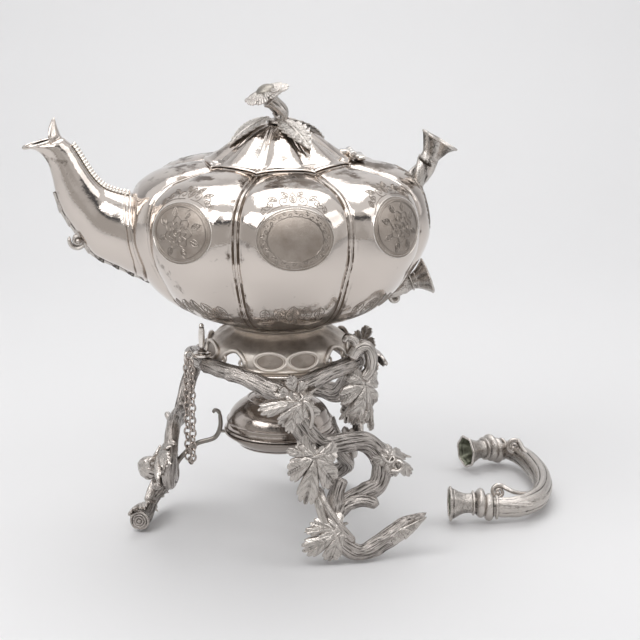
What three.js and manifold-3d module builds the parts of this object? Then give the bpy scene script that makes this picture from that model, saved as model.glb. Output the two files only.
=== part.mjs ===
import * as THREE from 'three';
import { mergeVertices } from 'three/addons/utils/BufferGeometryUtils.js';
import Module from 'manifold-3d';

// A silver spirit kettle on its stand of vine branches, with its lamp below and its loose
// handle beside it. Millimetres. Z is up, the spout points along -X and the handle side
// is +X. Every piece is laid out about the kettle's upright axis, and the whole is moved
// at the end so that the middle of its footprint is the origin.

const wasm = await Module();
wasm.setup();

// Driving dimensions

const clearance = 0.3; // between two pieces that touch
const overrun = 4; // how far a cutter passes the surface that it cuts
const weldDistance = 0.0005; // points nearer than this are one point

const lobes = 8; // the lobes of kettle body and lid
const body = {
  radius: 113.5, height: 121, wall: 2, footRadius: 30, floor: 2,
  neckRadius: 48.5, rimRadius: 53, lobeDepth: 7, beadHeight: 0.8, passageRadius: 14,
};
const gallery = {
  height: 28, rimRadius: 54.5, collarRadius: 34, wall: 2.2, ringRadius: 37, ringHeight: 4,
  archWidth: 23, archHeight: 13, archCount: 4, ovalLength: 24, ovalHeight: 13, ovalProud: 1.3,
};
const lid = {
  radius: 51.5, height: 26, wall: 1.9, bezelRadius: 47.6, bezelDepth: 4, lobeDepth: 1.8,
  stemHole: 2.4,
};
const spoutShare = { reach: 1.624, rise: 1.0967 }; // of the body's radius and height
const spout = {
  reach: spoutShare.reach * body.radius, rise: spoutShare.rise * body.height,
  wall: 1.8, halfWidth: 40, hoodLength: 18, hoodWidth: 15,
};
const strip = { width: 5.2, height: 2.4, rosetteRadius: 6.5, beadRadius: 1.5 };
const socket = {
  mouthRadius: 13.5, mouthDepth: 8, length: 20, setBack: 2, lip: 1.6, stemRadius: 6.5, curlRadius: 3.4, curlLength: 9,
};
const hinge = {
  radius: 2.6, pinRadius: 1.2, knuckle: 7.4, leafLength: 9, leafThickness: 1.4, offset: 2.9, strap: 1, strapLap: 2,
};
const finial = {
  flowerRadius: 17, petals: 14, petalThickness: 1.1, domeRadius: 7.5, domeHeight: 4.6,
  stemRadius: 4, stemHeight: 19, shankRadius: 2, shankDepth: 4.2, nutRadius: 5, nutHeight: 3, tilt: 22,
  washerRadius: 7, washerHeight: 4,
};
const lidLeafShare = { length: 0.718, width: 0.408, slope: 0.515 }; // of the lid's radius and of its own slope
const lidLeaf = {
  length: lidLeafShare.length * lid.radius, width: lidLeafShare.width * lid.radius,
  thickness: 1.3, lift: 2.4, raise: 1.5,
};
const seatRise = 10.7; // from the top of a trunk's middle line to the seat
const armRise = 1.9; // from the seat to the arms' middle line
const armOut = 4; // from the seat's edge to the arms' middle line
const legOutShare = 1.6; // how far a leg reaches, as a share of the seat's outer radius
const seat = { height: 131.7, inner: 49, outer: 60, thickness: 2.7 };
const leg = {
  across: 61, out: legOutShare * seat.outer, height: seat.height - seatRise, girth: 9, footing: 1.4, flatness: 0.66,
};
const arm = { radius: seat.outer + armOut, height: seat.height + armRise, girth: 8 };
const fork = { azimuth: -9.3 }; // degrees from the leg's own azimuth to its fork
const kneeLeaf = { radius: 19, thickness: 2 };
const footLeaf = { radius: 15, thickness: 2 };
const uprightLeaf = { length: 24, width: 17, thickness: 1.8 };
const curledLeaf = { length: 30, width: 22, thickness: 1.8 };
const rolledLeaf = { length: 22, width: 20, thickness: 1.8 };
const lampArm = { wire: 1.8, ledge: 4.8, ledgeDepth: 2, toeOut: 4, toeDrop: 6, stop: 14 };
const lamp = {
  flangeRadius: 42.5, flangeHeight: 72, flangeThickness: 1.6, bowlRadius: 39, bowlDepth: 14,
  domeHeight: 25, wall: 1.6, mouthRadius: 9, girdle: 1.5,
};
const burner = {
  tubeRadius: 7, tubeHeight: 11, collar: 12.5, collarHeight: 1.6, depth: 16, wickRadius: 5, wickProud: 3,
};
const lugOut = 6; // from the seat's edge to the middle of the pin's lug
const lug = {
  radius: seat.outer + lugOut, azimuth: -65.5, ring: 7, hole: 2.9, thickness: 2.6, eye: 3.2, eyeWire: 0.9,
};
const pin = { length: 25, radius: 2.3, collar: 3.8, collarHeight: 1 };
const chain = { drop: 76, spread: 8, link: 3, wire: 0.75, pitch: 5, ring: 3.9, ringWire: 0.8, slack: 0.5 };
const grip = {
  span: 137, depth: 51, height: 20, thickness: 15, left: 158, middle: 64.5, ribs: 8, turn: 7.5,
  curlRadius: 5, curlHeight: 9, curlSunk: 6,
};
const trumpet = { mouthRadius: 13.5, length: 27, wall: 1.7, collar: 11.5 };

const legs = [
  { name: 'front', azimuth: 6.5, wholeFoot: true },
  { name: 'left', azimuth: -113.5, wholeFoot: false },
  { name: 'right', azimuth: 126.5, wholeFoot: true },
];

// Outlines, as shares of the sizes above

const bodySkinShares = [ // [share of the radius, share of the height]
  [0.264, 0], [0.45, 0.035], [0.67, 0.115], [0.81, 0.215], [0.925, 0.36], [0.99, 0.5],
  [1, 0.6], [0.985, 0.72], [0.925, 0.84], [0.8, 0.925], [0.63, 0.97], [0.467, 1],
];
const galleryShares = [ // [from collar to rim, share of the height]
  [1, 0], [0.97, 0.2], [0.86, 0.44], [0.5, 0.62], [0, 0.84],
];
const lidSkinShares = [[1, 0], [0.975, 0.09], [0.83, 0.3], [0.66, 0.52], [0.5, 0.74], [0.34, 0.9], [0.15, 1]];
const spoutShares = [ // [top reach, top rise, bottom reach, bottom rise, half-width], root to lip
  [0.42, 0.7, 0.27, 0.09, 1], [0.526, 0.716, 0.412, 0.185, 0.9], [0.6, 0.731, 0.543, 0.258, 0.7],
  [0.651, 0.75, 0.651, 0.335, 0.54], [0.692, 0.776, 0.743, 0.407, 0.45], [0.73, 0.829, 0.808, 0.539, 0.39],
  [0.762, 0.897, 0.857, 0.648, 0.335], [0.789, 0.965, 0.882, 0.754, 0.305], [0.81, 1.01, 0.894, 0.844, 0.285],
  [0.826, 1.03, 0.912, 0.927, 0.27], [0.842, 1.05, 0.948, 0.984, 0.26], [0.856, 1.055, 1, 1.002, 0.2],
];
const upperSocketShares = [ // [share of the body's radius, of its height, of the stem's radius]
  [0.863, 0.777, 1.08], [0.907, 0.843, 1], [0.952, 0.905, 0.8], [0.996, 0.975, 0.83],
];
const upperMouthShare = [0.984, 0.96];
const lowerSocketShares = [[0.696, 0.198, 1], [0.775, 0.165, 1], [0.855, 0.19, 1]];
const lowerMouthShare = [0.828, 0.182];
const stemShares = [ // [along X, along Y, up, thickness], as shares of the stem's height and radius
  [0.026, 0, 0.274, 1], [0.237, -0.053, 0.358, 1], [0.184, -0.105, 0.526, 0.9], [-0.105, -0.184, 0.789, 1],
  [-0.368, -0.242, 1, 1.5],
];
const trunkShares = [ // [across, outward, up, thickness], fork to foot
  [-0.19, 0.73, 1, 0.86], [-0.015, 0.78, 0.81, 0.9], [0.21, 0.78, 0.683, 0.9], [0.535, 0.755, 0.68, 0.94],
  [0.89, 0.69, 0.61, 1], [1.06, 0.69, 0.485, 1], [0.965, 0.71, 0.36, 0.94], [0.73, 0.755, 0.325, 0.84],
  [0.49, 0.82, 0.3, 0.78], [0.32, 0.91, 0.21, 0.75], [0.36, 0.99, 0.132, 0.72],
];
const wholeFootShares = [
  [0.62, 1, 0.03, 0.7], [0.93, 0.99, 0.1, 0.78], [1.2, 0.97, 0.18, 0.6], [1.48, 0.94, 0.24, 0.12],
];
const cutFootShares = [[0.6, 1, 0.03, 0.76], [0.86, 0.995, 0.05, 0.86]];
const stubShares = [[0.475, 0.84, 0.32, 0.667], [0.54, 0.83, 0.395, 0.6], [0.62, 0.82, 0.47, 0.489]];
const sideStubShares = [[0.64, 0.8, 0.335, 0.711], [0.85, 0.81, 0.3, 0.689], [1.05, 0.82, 0.32, 0.622]];
const twigShares = [
  [0.18, 0.85, 0.413, 0.333], [0.23, 0.91, 0.335, 0.333], [0.361, 0.98, 0.231, 0.333], [0.557, 1.01, 0.107, 0.333],
];
const shootShares = [[0.984, 0.71, 0.53, 0.333], [1.115, 0.72, 0.496, 0.311], [1.197, 0.72, 0.446, 0.311]];
const armShares = [ // [turn, ring radius, ring height, thickness], fork to joint
  [0, 1.09, 0.9, 1], [0.2, 1.05, 0.945, 0.88], [0.5, 1.01, 0.99, 0.76], [0.75, 1, 1, 0.72], [1.05, 1, 1, 0.7],
];
const lampArmShares = [[0.87, 0.285], [0.77, 0.39], [0.66, 0.46]]; // [of the leg's reach, of the seat's height]
const bowlShares = [[0, 0], [0.45, 0.03], [0.78, 0.32], [0.95, 0.72], [1, 1]];
const domeShares = [[0.95, 0], [0.93, 0.16], [0.84, 0.5], [0.62, 0.82], [0.36, 1]];
const gripShares = [ // [share of the depth, share of the half span] from one collar to the other
  [0, -1], [0.47, -0.985], [0.8, -0.766], [0.96, -0.43], [1, -0.066], [0.96, 0.255], [0.88, 0.56], [0.745, 0.825],
  [0.53, 1], [0.363, 0.937],
];

const turn = 2 * Math.PI;
const degree = Math.PI / 180;
const point = (x, y, z) => new THREE.Vector3(x, y, z);
const lerp = THREE.MathUtils.lerp;

// Rings of points skinned into one closed body. A ring of one point is a tip, and looped
// rings go back to the first one instead of ending.
function skinned(rings, looped = false) {
  const positions = [];
  const starts = rings.map((ring) => {
    const start = positions.length / 3;
    ring.forEach((p) => positions.push(p.x, p.y, p.z));
    return start;
  });
  const faces = [];
  const band = (a, b) => {
    const sides = Math.max(rings[a].length, rings[b].length);
    const at = (ring, i) => starts[ring] + (rings[ring].length === 1 ? 0 : i % sides);
    for (let i = 0; i < sides; i += 1) {
      if (rings[a].length > 1) faces.push(at(a, i), at(a, i + 1), at(b, i + 1));
      if (rings[b].length > 1) faces.push(at(a, i), at(b, i + 1), at(b, i));
    }
  };
  rings.slice(1).forEach((ring, i) => band(i, i + 1));
  if (looped) band(rings.length - 1, 0);
  else [0, rings.length - 1].filter((k) => rings[k].length > 1).forEach((k) => {
    const middle = rings[k].reduce((sum, p) => sum.add(p), point(0, 0, 0)).divideScalar(rings[k].length);
    const hub = positions.length / 3;
    positions.push(middle.x, middle.y, middle.z);
    rings[k].forEach((p, i) => {
      const [from, to] = [starts[k] + i, starts[k] + (i + 1) % rings[k].length];
      faces.push(hub, ...(k === 0 ? [to, from] : [from, to]));
    });
  });
  const geometry = new THREE.BufferGeometry();
  geometry.setAttribute('position', new THREE.Float32BufferAttribute(positions, 3));
  geometry.setIndex(faces);
  return facingOut(geometry);
}

// The same body with its faces turned outward, if they were not
function facingOut(geometry) {
  const { array } = geometry.attributes.position;
  const faces = Array.from(geometry.index.array);
  const corner = (i) => new THREE.Vector3().fromArray(array, 3 * faces[i]);
  let volume = 0;
  for (let i = 0; i < faces.length; i += 3) volume += corner(i).dot(corner(i + 1).cross(corner(i + 2)));
  geometry.setIndex(volume < 0 ? faces.reverse() : faces);
  geometry.computeVertexNormals();
  return geometry;
}

// A body turned about Z from [radius, height] points. The outline starts and ends on the
// axis, or is looped. swell and lift change the radius and the height around the axis.
function turned(outline, { sides = 24, angles, looped = false, swell = () => 1, lift = () => 0 } = {}) {
  const around = angles ?? Array.from({ length: sides }, (_, i) => (i / sides) * turn);
  const ring = ([radius, height]) => around.map((a) => {
    const r = radius * swell(a, radius, height);
    return point(r * Math.cos(a), r * Math.sin(a), height + lift(a, radius, height));
  });
  return skinned(outline.map((p) => (p[0] === 0 ? [point(0, 0, p[1])] : ring(p))), looped);
}

// A rod along a smooth curve through stations of [x, y, z, radius], with domed or flat ends
function rod(stations, { sides = 6, steps = 12, domed = true, grow = 0, ridge = () => 1 } = {}) {
  const curve = new THREE.CatmullRomCurve3(stations.map(([x, y, z]) => point(x, y, z)), false, 'centripetal');
  const frames = curve.computeFrenetFrames(steps, false);
  const radiusAt = (u) => {
    const t = curve.getUtoTmapping(u) * (stations.length - 1);
    const i = Math.min(Math.floor(t), stations.length - 2);
    return lerp(stations[i][3], stations[i + 1][3], THREE.MathUtils.smoothstep(t - i, 0, 1)) + grow;
  };
  const ring = (k, size = 1, push = 0) => {
    const u = k / steps;
    const radius = radiusAt(u);
    const centre = curve.getPointAt(u).addScaledVector(frames.tangents[k], push * radius);
    return Array.from({ length: sides }, (_, i) => {
      const a = (i / sides) * turn;
      const reach = size * radius * ridge(a, u);
      return centre.clone().addScaledVector(frames.normals[k], reach * Math.cos(a))
        .addScaledVector(frames.binormals[k], reach * Math.sin(a));
    });
  };
  const rings = Array.from({ length: steps + 1 }, (_, k) => ring(k));
  if (!domed) return skinned(rings);
  const tip = (k, push) => [curve.getPointAt(k / steps)
    .addScaledVector(frames.tangents[k], push * radiusAt(k / steps))];
  return skinned([tip(0, -0.5), ring(0, 0.66, -0.34), ...rings, ring(steps, 0.66, 0.34), tip(steps, 0.5)]);
}

function smooth(points, count) {
  const curve = new THREE.SplineCurve(points.map(([x, y]) => new THREE.Vector2(x, y)));
  return curve.getPoints(count).map((p) => [p.x, p.y]);
}

function solidOf(geometry) {
  const bare = geometry.clone();
  bare.deleteAttribute('normal');
  bare.deleteAttribute('uv');
  const merged = mergeVertices(bare, weldDistance);
  return new wasm.Manifold(new wasm.Mesh({
    numProp: 3,
    vertProperties: new Float32Array(merged.attributes.position.array),
    triVerts: new Uint32Array(merged.index.array),
  }));
}

function geometryOf(solid) {
  const mesh = solid.getMesh();
  const geometry = new THREE.BufferGeometry();
  geometry.setAttribute('position', new THREE.Float32BufferAttribute(mesh.vertProperties, mesh.numProp));
  geometry.setIndex(Array.from(mesh.triVerts));
  geometry.computeVertexNormals();
  return geometry;
}

const joined = (...pieces) => geometryOf(pieces.map(solidOf).reduce((all, next) => all.add(next)));
const cut = (piece, ...cutters) => geometryOf(
  cutters.map(solidOf).reduce((rest, next) => rest.subtract(next), solidOf(piece)));

function block(low, high) {
  const size = high.clone().sub(low);
  const middle = low.clone().add(high).multiplyScalar(0.5);
  return new THREE.BoxGeometry(size.x, size.y, size.z).translate(middle.x, middle.y, middle.z);
}

// Moves a piece that grows along +X and faces +Z to a place, a direction and a facing
function placed(geometry, at, grow, face) {
  const x = grow.clone().normalize();
  const y = face.clone().cross(x).normalize();
  const matrix = new THREE.Matrix4().makeBasis(x, y, x.clone().cross(y)).setPosition(at);
  return geometry.clone().applyMatrix4(matrix);
}

// Turns a piece that stands along +Z to stand along another direction
function stood(geometry, at, direction) {
  const quaternion = new THREE.Quaternion().setFromUnitVectors(point(0, 0, 1), direction.clone().normalize());
  return geometry.clone().applyQuaternion(quaternion).translate(at.x, at.y, at.z);
}

const ball = (radius, at) => new THREE.OctahedronGeometry(radius * 1.15).translate(at.x, at.y, at.z);
const bar = (radius, length, sides = 16) => turned([[0, 0], [radius, 0], [radius, length], [0, length]], { sides });
const polar = (radius, azimuth, height) => point(
  radius * Math.sin(azimuth * degree), -radius * Math.cos(azimuth * degree), height);

// A serrated leaf that grows along +X, faces +Z and curls down towards its tip
function leaf({ length, width, thickness }, { curl = 0.6, cup = 0.25, teeth = 2, notch = 0.22, start = 0.16 } = {}) {
  const rows = 2 * teeth;
  const across = [-1, 0, 1];
  const rings = Array.from({ length: rows + 1 }, (_, row) => {
    const s = row / rows;
    const taper = Math.max(Math.sin(Math.PI * s ** 0.72), row === 0 ? start : 0.06);
    const half = (width / 2) * taper * (row % 2 === 0 ? 1 - notch : 1);
    const bend = curl * s + 1e-6;
    const along = (length * Math.sin(bend)) / (curl + 1e-6);
    const drop = (length * (1 - Math.cos(bend))) / (curl + 1e-6);
    const top = across.map((v) => point(along, v * half, -drop - cup * half * v * v + (v === 0 ? thickness / 3 : 0)));
    const under = across.map((v) => point(along, v * half, -drop - cup * half * v * v - thickness)).reverse();
    return [...top, ...under];
  });
  return skinned(rings);
}

// A vine leaf seen face on: pointed lobes round a middle, facing +Z and drooping at its edge
function vine({ radius, thickness }, { points = 5, notch = 0.3, droop = 0.3 } = {}) {
  const sides = 4 * points;
  const edge = (a, r) => (r < radius / 2 ? 1 : 1 - notch * (0.5 - 0.5 * Math.cos(points * a)) ** 2);
  const fall = (a, r) => -droop * radius * (r / radius) ** 2;
  const outline = [[0, thickness / 2], [0.45 * radius, thickness / 2], [radius, 0],
    [radius, -thickness / 2], [0.45 * radius, -thickness / 2], [0, -thickness / 2]];
  return turned(outline, { sides, swell: edge, lift: fall });
}

// Kettle body and lid: the lobes

// Angles round a lobed body: each lobe has its middle, its flanks and the bead on its seam
const lobeSteps = [-0.92, -0.5, 0, 0.5, 0.92, 1];
const lobeAngles = Array.from({ length: lobes }, (_, lobe) => (
  lobeSteps.map((s) => ((lobe + s / 2) / lobes) * turn))).flat();

// How deep a seam draws in at an angle, from 0 on a lobe's middle to 1 at its seam
function seamShare(angle) {
  const s = Math.abs((((angle / turn) * lobes + 0.5) % 1 + 1) % 1 - 0.5) * 2;
  return s ** 2.4;
}

const onSeam = (angle) => seamShare(angle) > 0.99;
const lobed = (depth, bead = 0) => (angle, radius) => {
  const rise = onSeam(angle) ? bead : 0;
  return 1 - (depth * seamShare(angle) - rise) / radius;
};

const bodyBase = gallery.height;
const bodyTop = bodyBase + body.height;
const bodySkin = smooth(bodySkinShares.map(([r, z]) => [r * body.radius, bodyBase + z * body.height]), 11)
  .map(([r, z]) => [Math.max(r, body.rimRadius * (z > bodyTop - body.wall ? 1 : 0)), z]);
const bodyLobe = (bead, grow = 0) => (angle, radius, height) => {
  const share = THREE.MathUtils.smoothstep((height - bodyBase) / body.height, 0.02, 0.4);
  const near = THREE.MathUtils.smoothstep((bodyTop - height) / body.height, 0, 0.5);
  const depth = body.lobeDepth * share * lerp(0.3, 1, near);
  return lobed(depth, bead * share)(angle, radius) + grow / radius;
};

function kettleBody() {
  const outer = bodySkin.filter(([, z]) => z < bodyTop - clearance);
  const inner = smooth([[0, bodyBase + body.floor], ...bodySkinShares.slice(1, -2).map(([r, z]) => [
    r * body.radius - body.wall, bodyBase + body.floor + z * (body.height - body.floor - body.wall)])], 5);
  const outline = [[0, bodyBase], [body.footRadius, bodyBase], ...outer.slice(1),
    [body.rimRadius, bodyTop], [body.neckRadius, bodyTop], [body.neckRadius, bodyTop - body.wall],
    ...inner.reverse().slice(0, -1), [0, bodyBase + body.floor]];
  const skin = turned(outline, { angles: lobeAngles, swell: (a, r, z) => (
    r <= body.neckRadius && z > bodyTop - body.wall - clearance ? 1 : bodyLobe(body.beadHeight)(a, r, z)) });
  const passage = bar(body.passageRadius, body.radius).rotateY(-Math.PI / 2)
    .translate(-body.radius / 2, 0, bodyBase + body.height / 2);
  return cut(skin, passage);
}

// The body's outside as a full solid, a clearance larger, to seat pieces against
function bodyEnvelope() {
  const outline = [[0, bodyBase], ...bodySkin.map(([r, z]) => [r + clearance, z]), [0, bodyTop + clearance]];
  return turned(outline, { angles: lobeAngles, swell: bodyLobe(body.beadHeight) });
}

function galleryFoot() {
  const { rimRadius: rim, collarRadius: collar, wall, height } = gallery;
  const top = height - clearance;
  const skirt = galleryShares.map(([r, z]) => [lerp(collar, rim, r), z * height]);
  const inside = skirt.filter((_, i) => i % 2 === 0).map(([r, z]) => [r - wall, z]).reverse();
  const shell = turned([...skirt, [gallery.ringRadius, top - gallery.ringHeight], [gallery.ringRadius, top - wall],
    [collar, top], [collar - 2 * wall, top], ...inside], { sides: 24, looped: true });
  const arch = new THREE.Shape();
  arch.moveTo(-gallery.archWidth / 2, gallery.archHeight * 0.25);
  arch.lineTo(gallery.archWidth / 2, gallery.archHeight * 0.25);
  arch.quadraticCurveTo(gallery.archWidth / 2, gallery.archHeight, 0, gallery.archHeight);
  arch.quadraticCurveTo(-gallery.archWidth / 2, gallery.archHeight, -gallery.archWidth / 2, gallery.archHeight * 0.25);
  const cutter = new THREE.ExtrudeGeometry(arch, { depth: rim, bevelEnabled: false, curveSegments: 4 })
    .rotateX(Math.PI / 2);
  const arches = Array.from({ length: gallery.archCount }, (_, i) => cutter.clone()
    .rotateZ(((i + 0.5) / gallery.archCount) * turn));
  const oval = new THREE.SphereGeometry(1, 8, 3).rotateX(Math.PI / 2)
    .scale(gallery.ovalLength / 2, 3 * gallery.ovalProud, gallery.ovalHeight / 2);
  const ovalRadius = rim - 2 * gallery.ovalProud;
  const halfStep = Math.asin((gallery.ovalLength / 2 + clearance) / ovalRadius);
  const ovals = Array.from({ length: 2 * gallery.archCount }, (_, i) => {
    const side = i % 2 === 0 ? -1 : 1;
    return oval.clone().rotateX(-0.2).translate(0, -ovalRadius, 0.6 * gallery.ovalProud + gallery.ovalHeight / 2)
      .rotateZ((Math.floor(i / 2) / gallery.archCount) * turn + side * halfStep);
  });
  return joined(cut(shell, ...arches), ...ovals);
}

// Spout

// A ring of the spout, between a top and a bottom point in the XZ plane
function spoutRing(share, shrink, slide = 0) {
  const [topReach, topRise, bottomReach, bottomRise, width] = share;
  const top = point(-spout.reach * topReach, 0, bodyBase + spout.rise * topRise);
  const bottom = point(-spout.reach * bottomReach, 0, bodyBase + spout.rise * bottomRise);
  const middle = top.clone().add(bottom).multiplyScalar(0.5);
  const up = top.clone().sub(bottom).multiplyScalar(0.5);
  const ahead = point(-up.z, 0, up.x).normalize();
  const length = up.length() - shrink;
  const half = spout.halfWidth * width - shrink;
  return Array.from({ length: 12 }, (_, i) => {
    const a = (i / 12) * turn;
    const pear = 1 + 0.12 * Math.cos(a);
    return middle.clone().addScaledVector(up.clone().normalize(), length * Math.cos(a))
      .addScaledVector(ahead, slide).add(point(0, (half / pear) * Math.sin(a), 0));
  });
}

function spoutBody() {
  const outer = skinned(spoutShares.map((share) => spoutRing(share, 0)));
  const bore = skinned([spoutRing(spoutShares[0], spout.wall, -overrun),
    ...spoutShares.map((share) => spoutRing(share, spout.wall)), spoutRing(spoutShares.at(-1), spout.wall, overrun)]);
  const [reach, rise] = spoutShares.at(-1);
  const hood = placed(
    leaf({ length: spout.hoodLength, width: spout.hoodWidth, thickness: spout.wall },
      { teeth: 2, notch: 0, curl: 0.25, start: 0.8 }),
    point(-spout.reach * (reach - 0.012), 0, bodyBase + spout.rise * rise - 2 * spout.wall),
    point(-0.6, 0, 1), point(-1, 0, -0.6));
  return cut(joined(cut(outer, bore), hood), bodyEnvelope());
}

// A moulded strip that lies along the top or the underside of the spout, with beads or leaves
function spoutStrip(stations, beads, rosette) {
  const [width, height] = [strip.width / 2, strip.height];
  const rings = stations.map(([x, z, nx, nz]) => [-1, -0.4, 0.4, 1].map((v) => (
    point(x + nx * (Math.abs(v) < 1 ? height : 0), v * width, z + nz * (Math.abs(v) < 1 ? height : 0)))).concat(
    [1, -1].map((v) => point(x - nx * height, v * width * 0.6, z - nz * height))));
  return joined(skinned(rings), ...beads, ...rosette);
}

// Points along one edge of the spout, with the direction that leaves its surface
function spoutEdge(first, last, column, outward, lift, count) {
  const rows = spoutShares.slice(first, last + 1);
  const edge = smooth(rows.map((row) => [-spout.reach * row[column], bodyBase + spout.rise * row[column + 1]]), count);
  return edge.map(([x, z], i) => {
    const [ax, az] = edge[Math.max(i - 1, 0)];
    const [bx, bz] = edge[Math.min(i + 1, edge.length - 1)];
    const normal = new THREE.Vector2(bz - az, ax - bx).normalize().multiplyScalar(outward);
    return [x + normal.x * lift, z + normal.y * lift, normal.x, normal.y];
  });
}

function crestStrip() {
  const edge = spoutEdge(2, 8, 0, 1, clearance, 10);
  const beads = edge.map(([x, z, nx, nz]) => ball(strip.beadRadius,
    point(x + nx * (strip.height + strip.beadRadius / 3), 0, z + nz * (strip.height + strip.beadRadius / 3))));
  return seatedOnSpout(spoutStrip(edge, beads, []));
}

function keelStrip() {
  const edge = spoutEdge(1, 7, 2, -1, clearance, 9);
  const [x, z, nx, nz] = edge[6];
  const rosette = [1, -1].map((side) => stood(
    turned([[0, 0], [strip.rosetteRadius, 0], [strip.rosetteRadius, strip.height], [strip.rosetteRadius / 2, strip.height * 0.6],
      [strip.rosetteRadius / 3, strip.height * 1.3], [0, strip.height * 1.3]], { sides: 10 }),
    point(x + nx * strip.height / 2, side * strip.height * 0.4, z + nz * strip.height / 2), point(0, side, 0)));
  return seatedOnSpout(spoutStrip(edge, [], rosette));
}

function seatedOnSpout(piece) {
  return cut(piece, skinned(spoutShares.map((share) => spoutRing(share, -clearance))), bodyEnvelope());
}

// Handle sockets: a foliate stem that flares into an open trumpet mouth

function trumpetShape(stemRadius) {
  const { mouthRadius, length, mouthDepth: depth, lip } = socket;
  const outline = [[0, 0], [stemRadius, 0], [stemRadius * 0.86, length * 0.35], [stemRadius * 1.15, length * 0.62],
    [mouthRadius * 0.86, length * 0.88], [mouthRadius, length], [mouthRadius - lip, length],
    [mouthRadius * 0.72, length - depth * 0.4], [stemRadius * 0.8, length - depth], [0, length - depth]];
  return turned(outline, { sides: 12 });
}

const onBody = ([r, z]) => point(r * body.radius, 0, bodyBase + z * body.height);
const socketRod = (shares) => shares.map(([r, z, girth]) => [...onBody([r, z]).toArray(), girth * socket.stemRadius]);

function upperSocket() {
  const aim = point(0.6, 0, 1);
  const start = onBody(upperMouthShare).addScaledVector(aim.clone().normalize(), -socket.setBack);
  const flare = stood(trumpetShape(0.9 * socket.stemRadius), start, aim);
  const stem = rod(socketRod(upperSocketShares), { steps: 5, ridge: (a, u) => 1 + 0.12 * Math.cos(3 * a + 5 * u) });
  return cut(joined(stem, flare), bodyEnvelope());
}

function lowerSocket() {
  const flare = stood(trumpetShape(socket.stemRadius), onBody(lowerMouthShare), point(1, 0, 0.36));
  const neck = rod(socketRod(lowerSocketShares), { steps: 4 });
  const curlAt = onBody(lowerSocketShares[1]).add(point(0, socket.curlLength / 2, -socket.stemRadius - socket.lip / 2));
  const curl = stood(bar(socket.curlRadius, socket.curlLength, 10), curlAt, point(0, -1, 0));
  return cut(joined(neck, flare, curl), bodyEnvelope());
}

// Lid

const lidBase = bodyTop + clearance;
const lidTop = lidBase + lid.height;
const lidSkin = (grow = 0) => smooth(
  lidSkinShares.map(([r, z]) => [r * lid.radius + grow, lidBase + z * lid.height + grow]), 6);
const lidLobe = (angle, radius) => (
  lobed(lid.lobeDepth * Math.min(1, radius / lid.radius), body.beadHeight / 2)(angle, radius));

function lidShell() {
  const inner = lidSkin().filter((_, i) => i % 2 === 1)
    .map(([r, z]) => [Math.min(r - lid.wall / 2, lid.bezelRadius - lid.wall), z - lid.wall]);
  const outline = [...lidSkin(), [lid.stemHole, lidTop], [lid.stemHole, lidTop - lid.wall], ...inner.reverse(),
    [lid.bezelRadius - lid.wall, lidBase - lid.bezelDepth], [lid.bezelRadius, lidBase - lid.bezelDepth],
    [lid.bezelRadius, lidBase]];
  return turned(outline, { angles: lobeAngles, looped: true, swell: (a, r, z) => (
    r <= lid.bezelRadius && z <= lidBase ? 1 : lidLobe(a, r)) });
}

function lidEnvelope() {
  return turned([[0, lidBase], ...lidSkin(clearance), [0, lidTop + clearance]], { angles: lobeAngles, swell: lidLobe });
}

const stemStations = (grow) => stemShares.map(([x, y, z, girth]) => [x * finial.stemHeight, y * finial.stemHeight,
  lidTop + z * finial.stemHeight, girth * finial.stemRadius + grow]);
const stemTop = point(...stemStations(0).at(-1));
const flowerAim = point(-Math.sin(finial.tilt * degree), -0.12, Math.cos(finial.tilt * degree)).normalize();
const flowerSeat = stemTop.clone().addScaledVector(flowerAim, finial.stemRadius + clearance);

function finialStem() {
  const { shankRadius, shankDepth, washerRadius, washerHeight } = finial;
  const shankLow = lidTop - lid.wall - shankDepth;
  const shank = bar(shankRadius, lidTop + washerHeight - shankLow, 10).translate(0, 0, shankLow);
  const washer = turned([[0, lidTop + clearance], [washerRadius, lidTop + clearance],
    [washerRadius * 0.8, lidTop + washerHeight * 0.75], [0, lidTop + washerHeight]], { sides: 12 });
  const beyond = stood(bar(finial.flowerRadius, finial.flowerRadius),
    flowerSeat.clone().addScaledVector(flowerAim, -clearance), flowerAim);
  return cut(joined(rod(stemStations(0), { steps: 8 }), washer, shank), beyond);
}

function finialFlower() {
  const { flowerRadius: r, domeRadius: dome, petalThickness: t, petals } = finial;
  const petal = (a, radius) => (radius < 0.6 * r ? 1 : 1 - 0.15 * Math.abs(Math.sin((petals * a) / 2)) ** 3);
  const outline = [[0, 0], [dome, 0.2 * t], [r, 0.8 * t], [r, 1.8 * t], [dome, 1.5 * t], [dome, t + 0.5 * finial.domeHeight],
    [0.6 * dome, t + 0.9 * finial.domeHeight], [0, t + finial.domeHeight]];
  return stood(turned(outline, { sides: 2 * petals, swell: petal, lift: (a, radius) => (
    radius < 0.6 * r ? 0 : 0.7 * t * Math.sin(3 * a) - 1.1 * t) }), flowerSeat, flowerAim);
}

function finialNut() {
  return turned([[finial.shankRadius + clearance, 0], [finial.nutRadius, 0], [finial.nutRadius, finial.nutHeight],
    [finial.shankRadius + clearance, finial.nutHeight]], { sides: 12, looped: true })
    .translate(0, 0, lidTop - lid.wall - 3 * clearance - finial.nutHeight);
}

function finialLeaf(azimuth, lift, curl) {
  const aim = polar(1, azimuth, -lidLeafShare.slope * lid.height / lid.radius);
  const spread = leaf(lidLeaf, { teeth: 3, notch: 0.14, curl, cup: 0.14, start: 0.3 });
  const root = polar(finial.washerRadius + clearance, azimuth, lidTop + lidLeaf.lift + lift);
  const piece = placed(spread, root, aim, point(0, 0, 1));
  return cut(piece, lidEnvelope(), rod(stemStations(clearance), { steps: 8 }));
}

// Hinge of the lid

const hingeAxis = point(lid.radius + hinge.offset, 0, bodyTop + hinge.radius + 2 * clearance);

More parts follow.
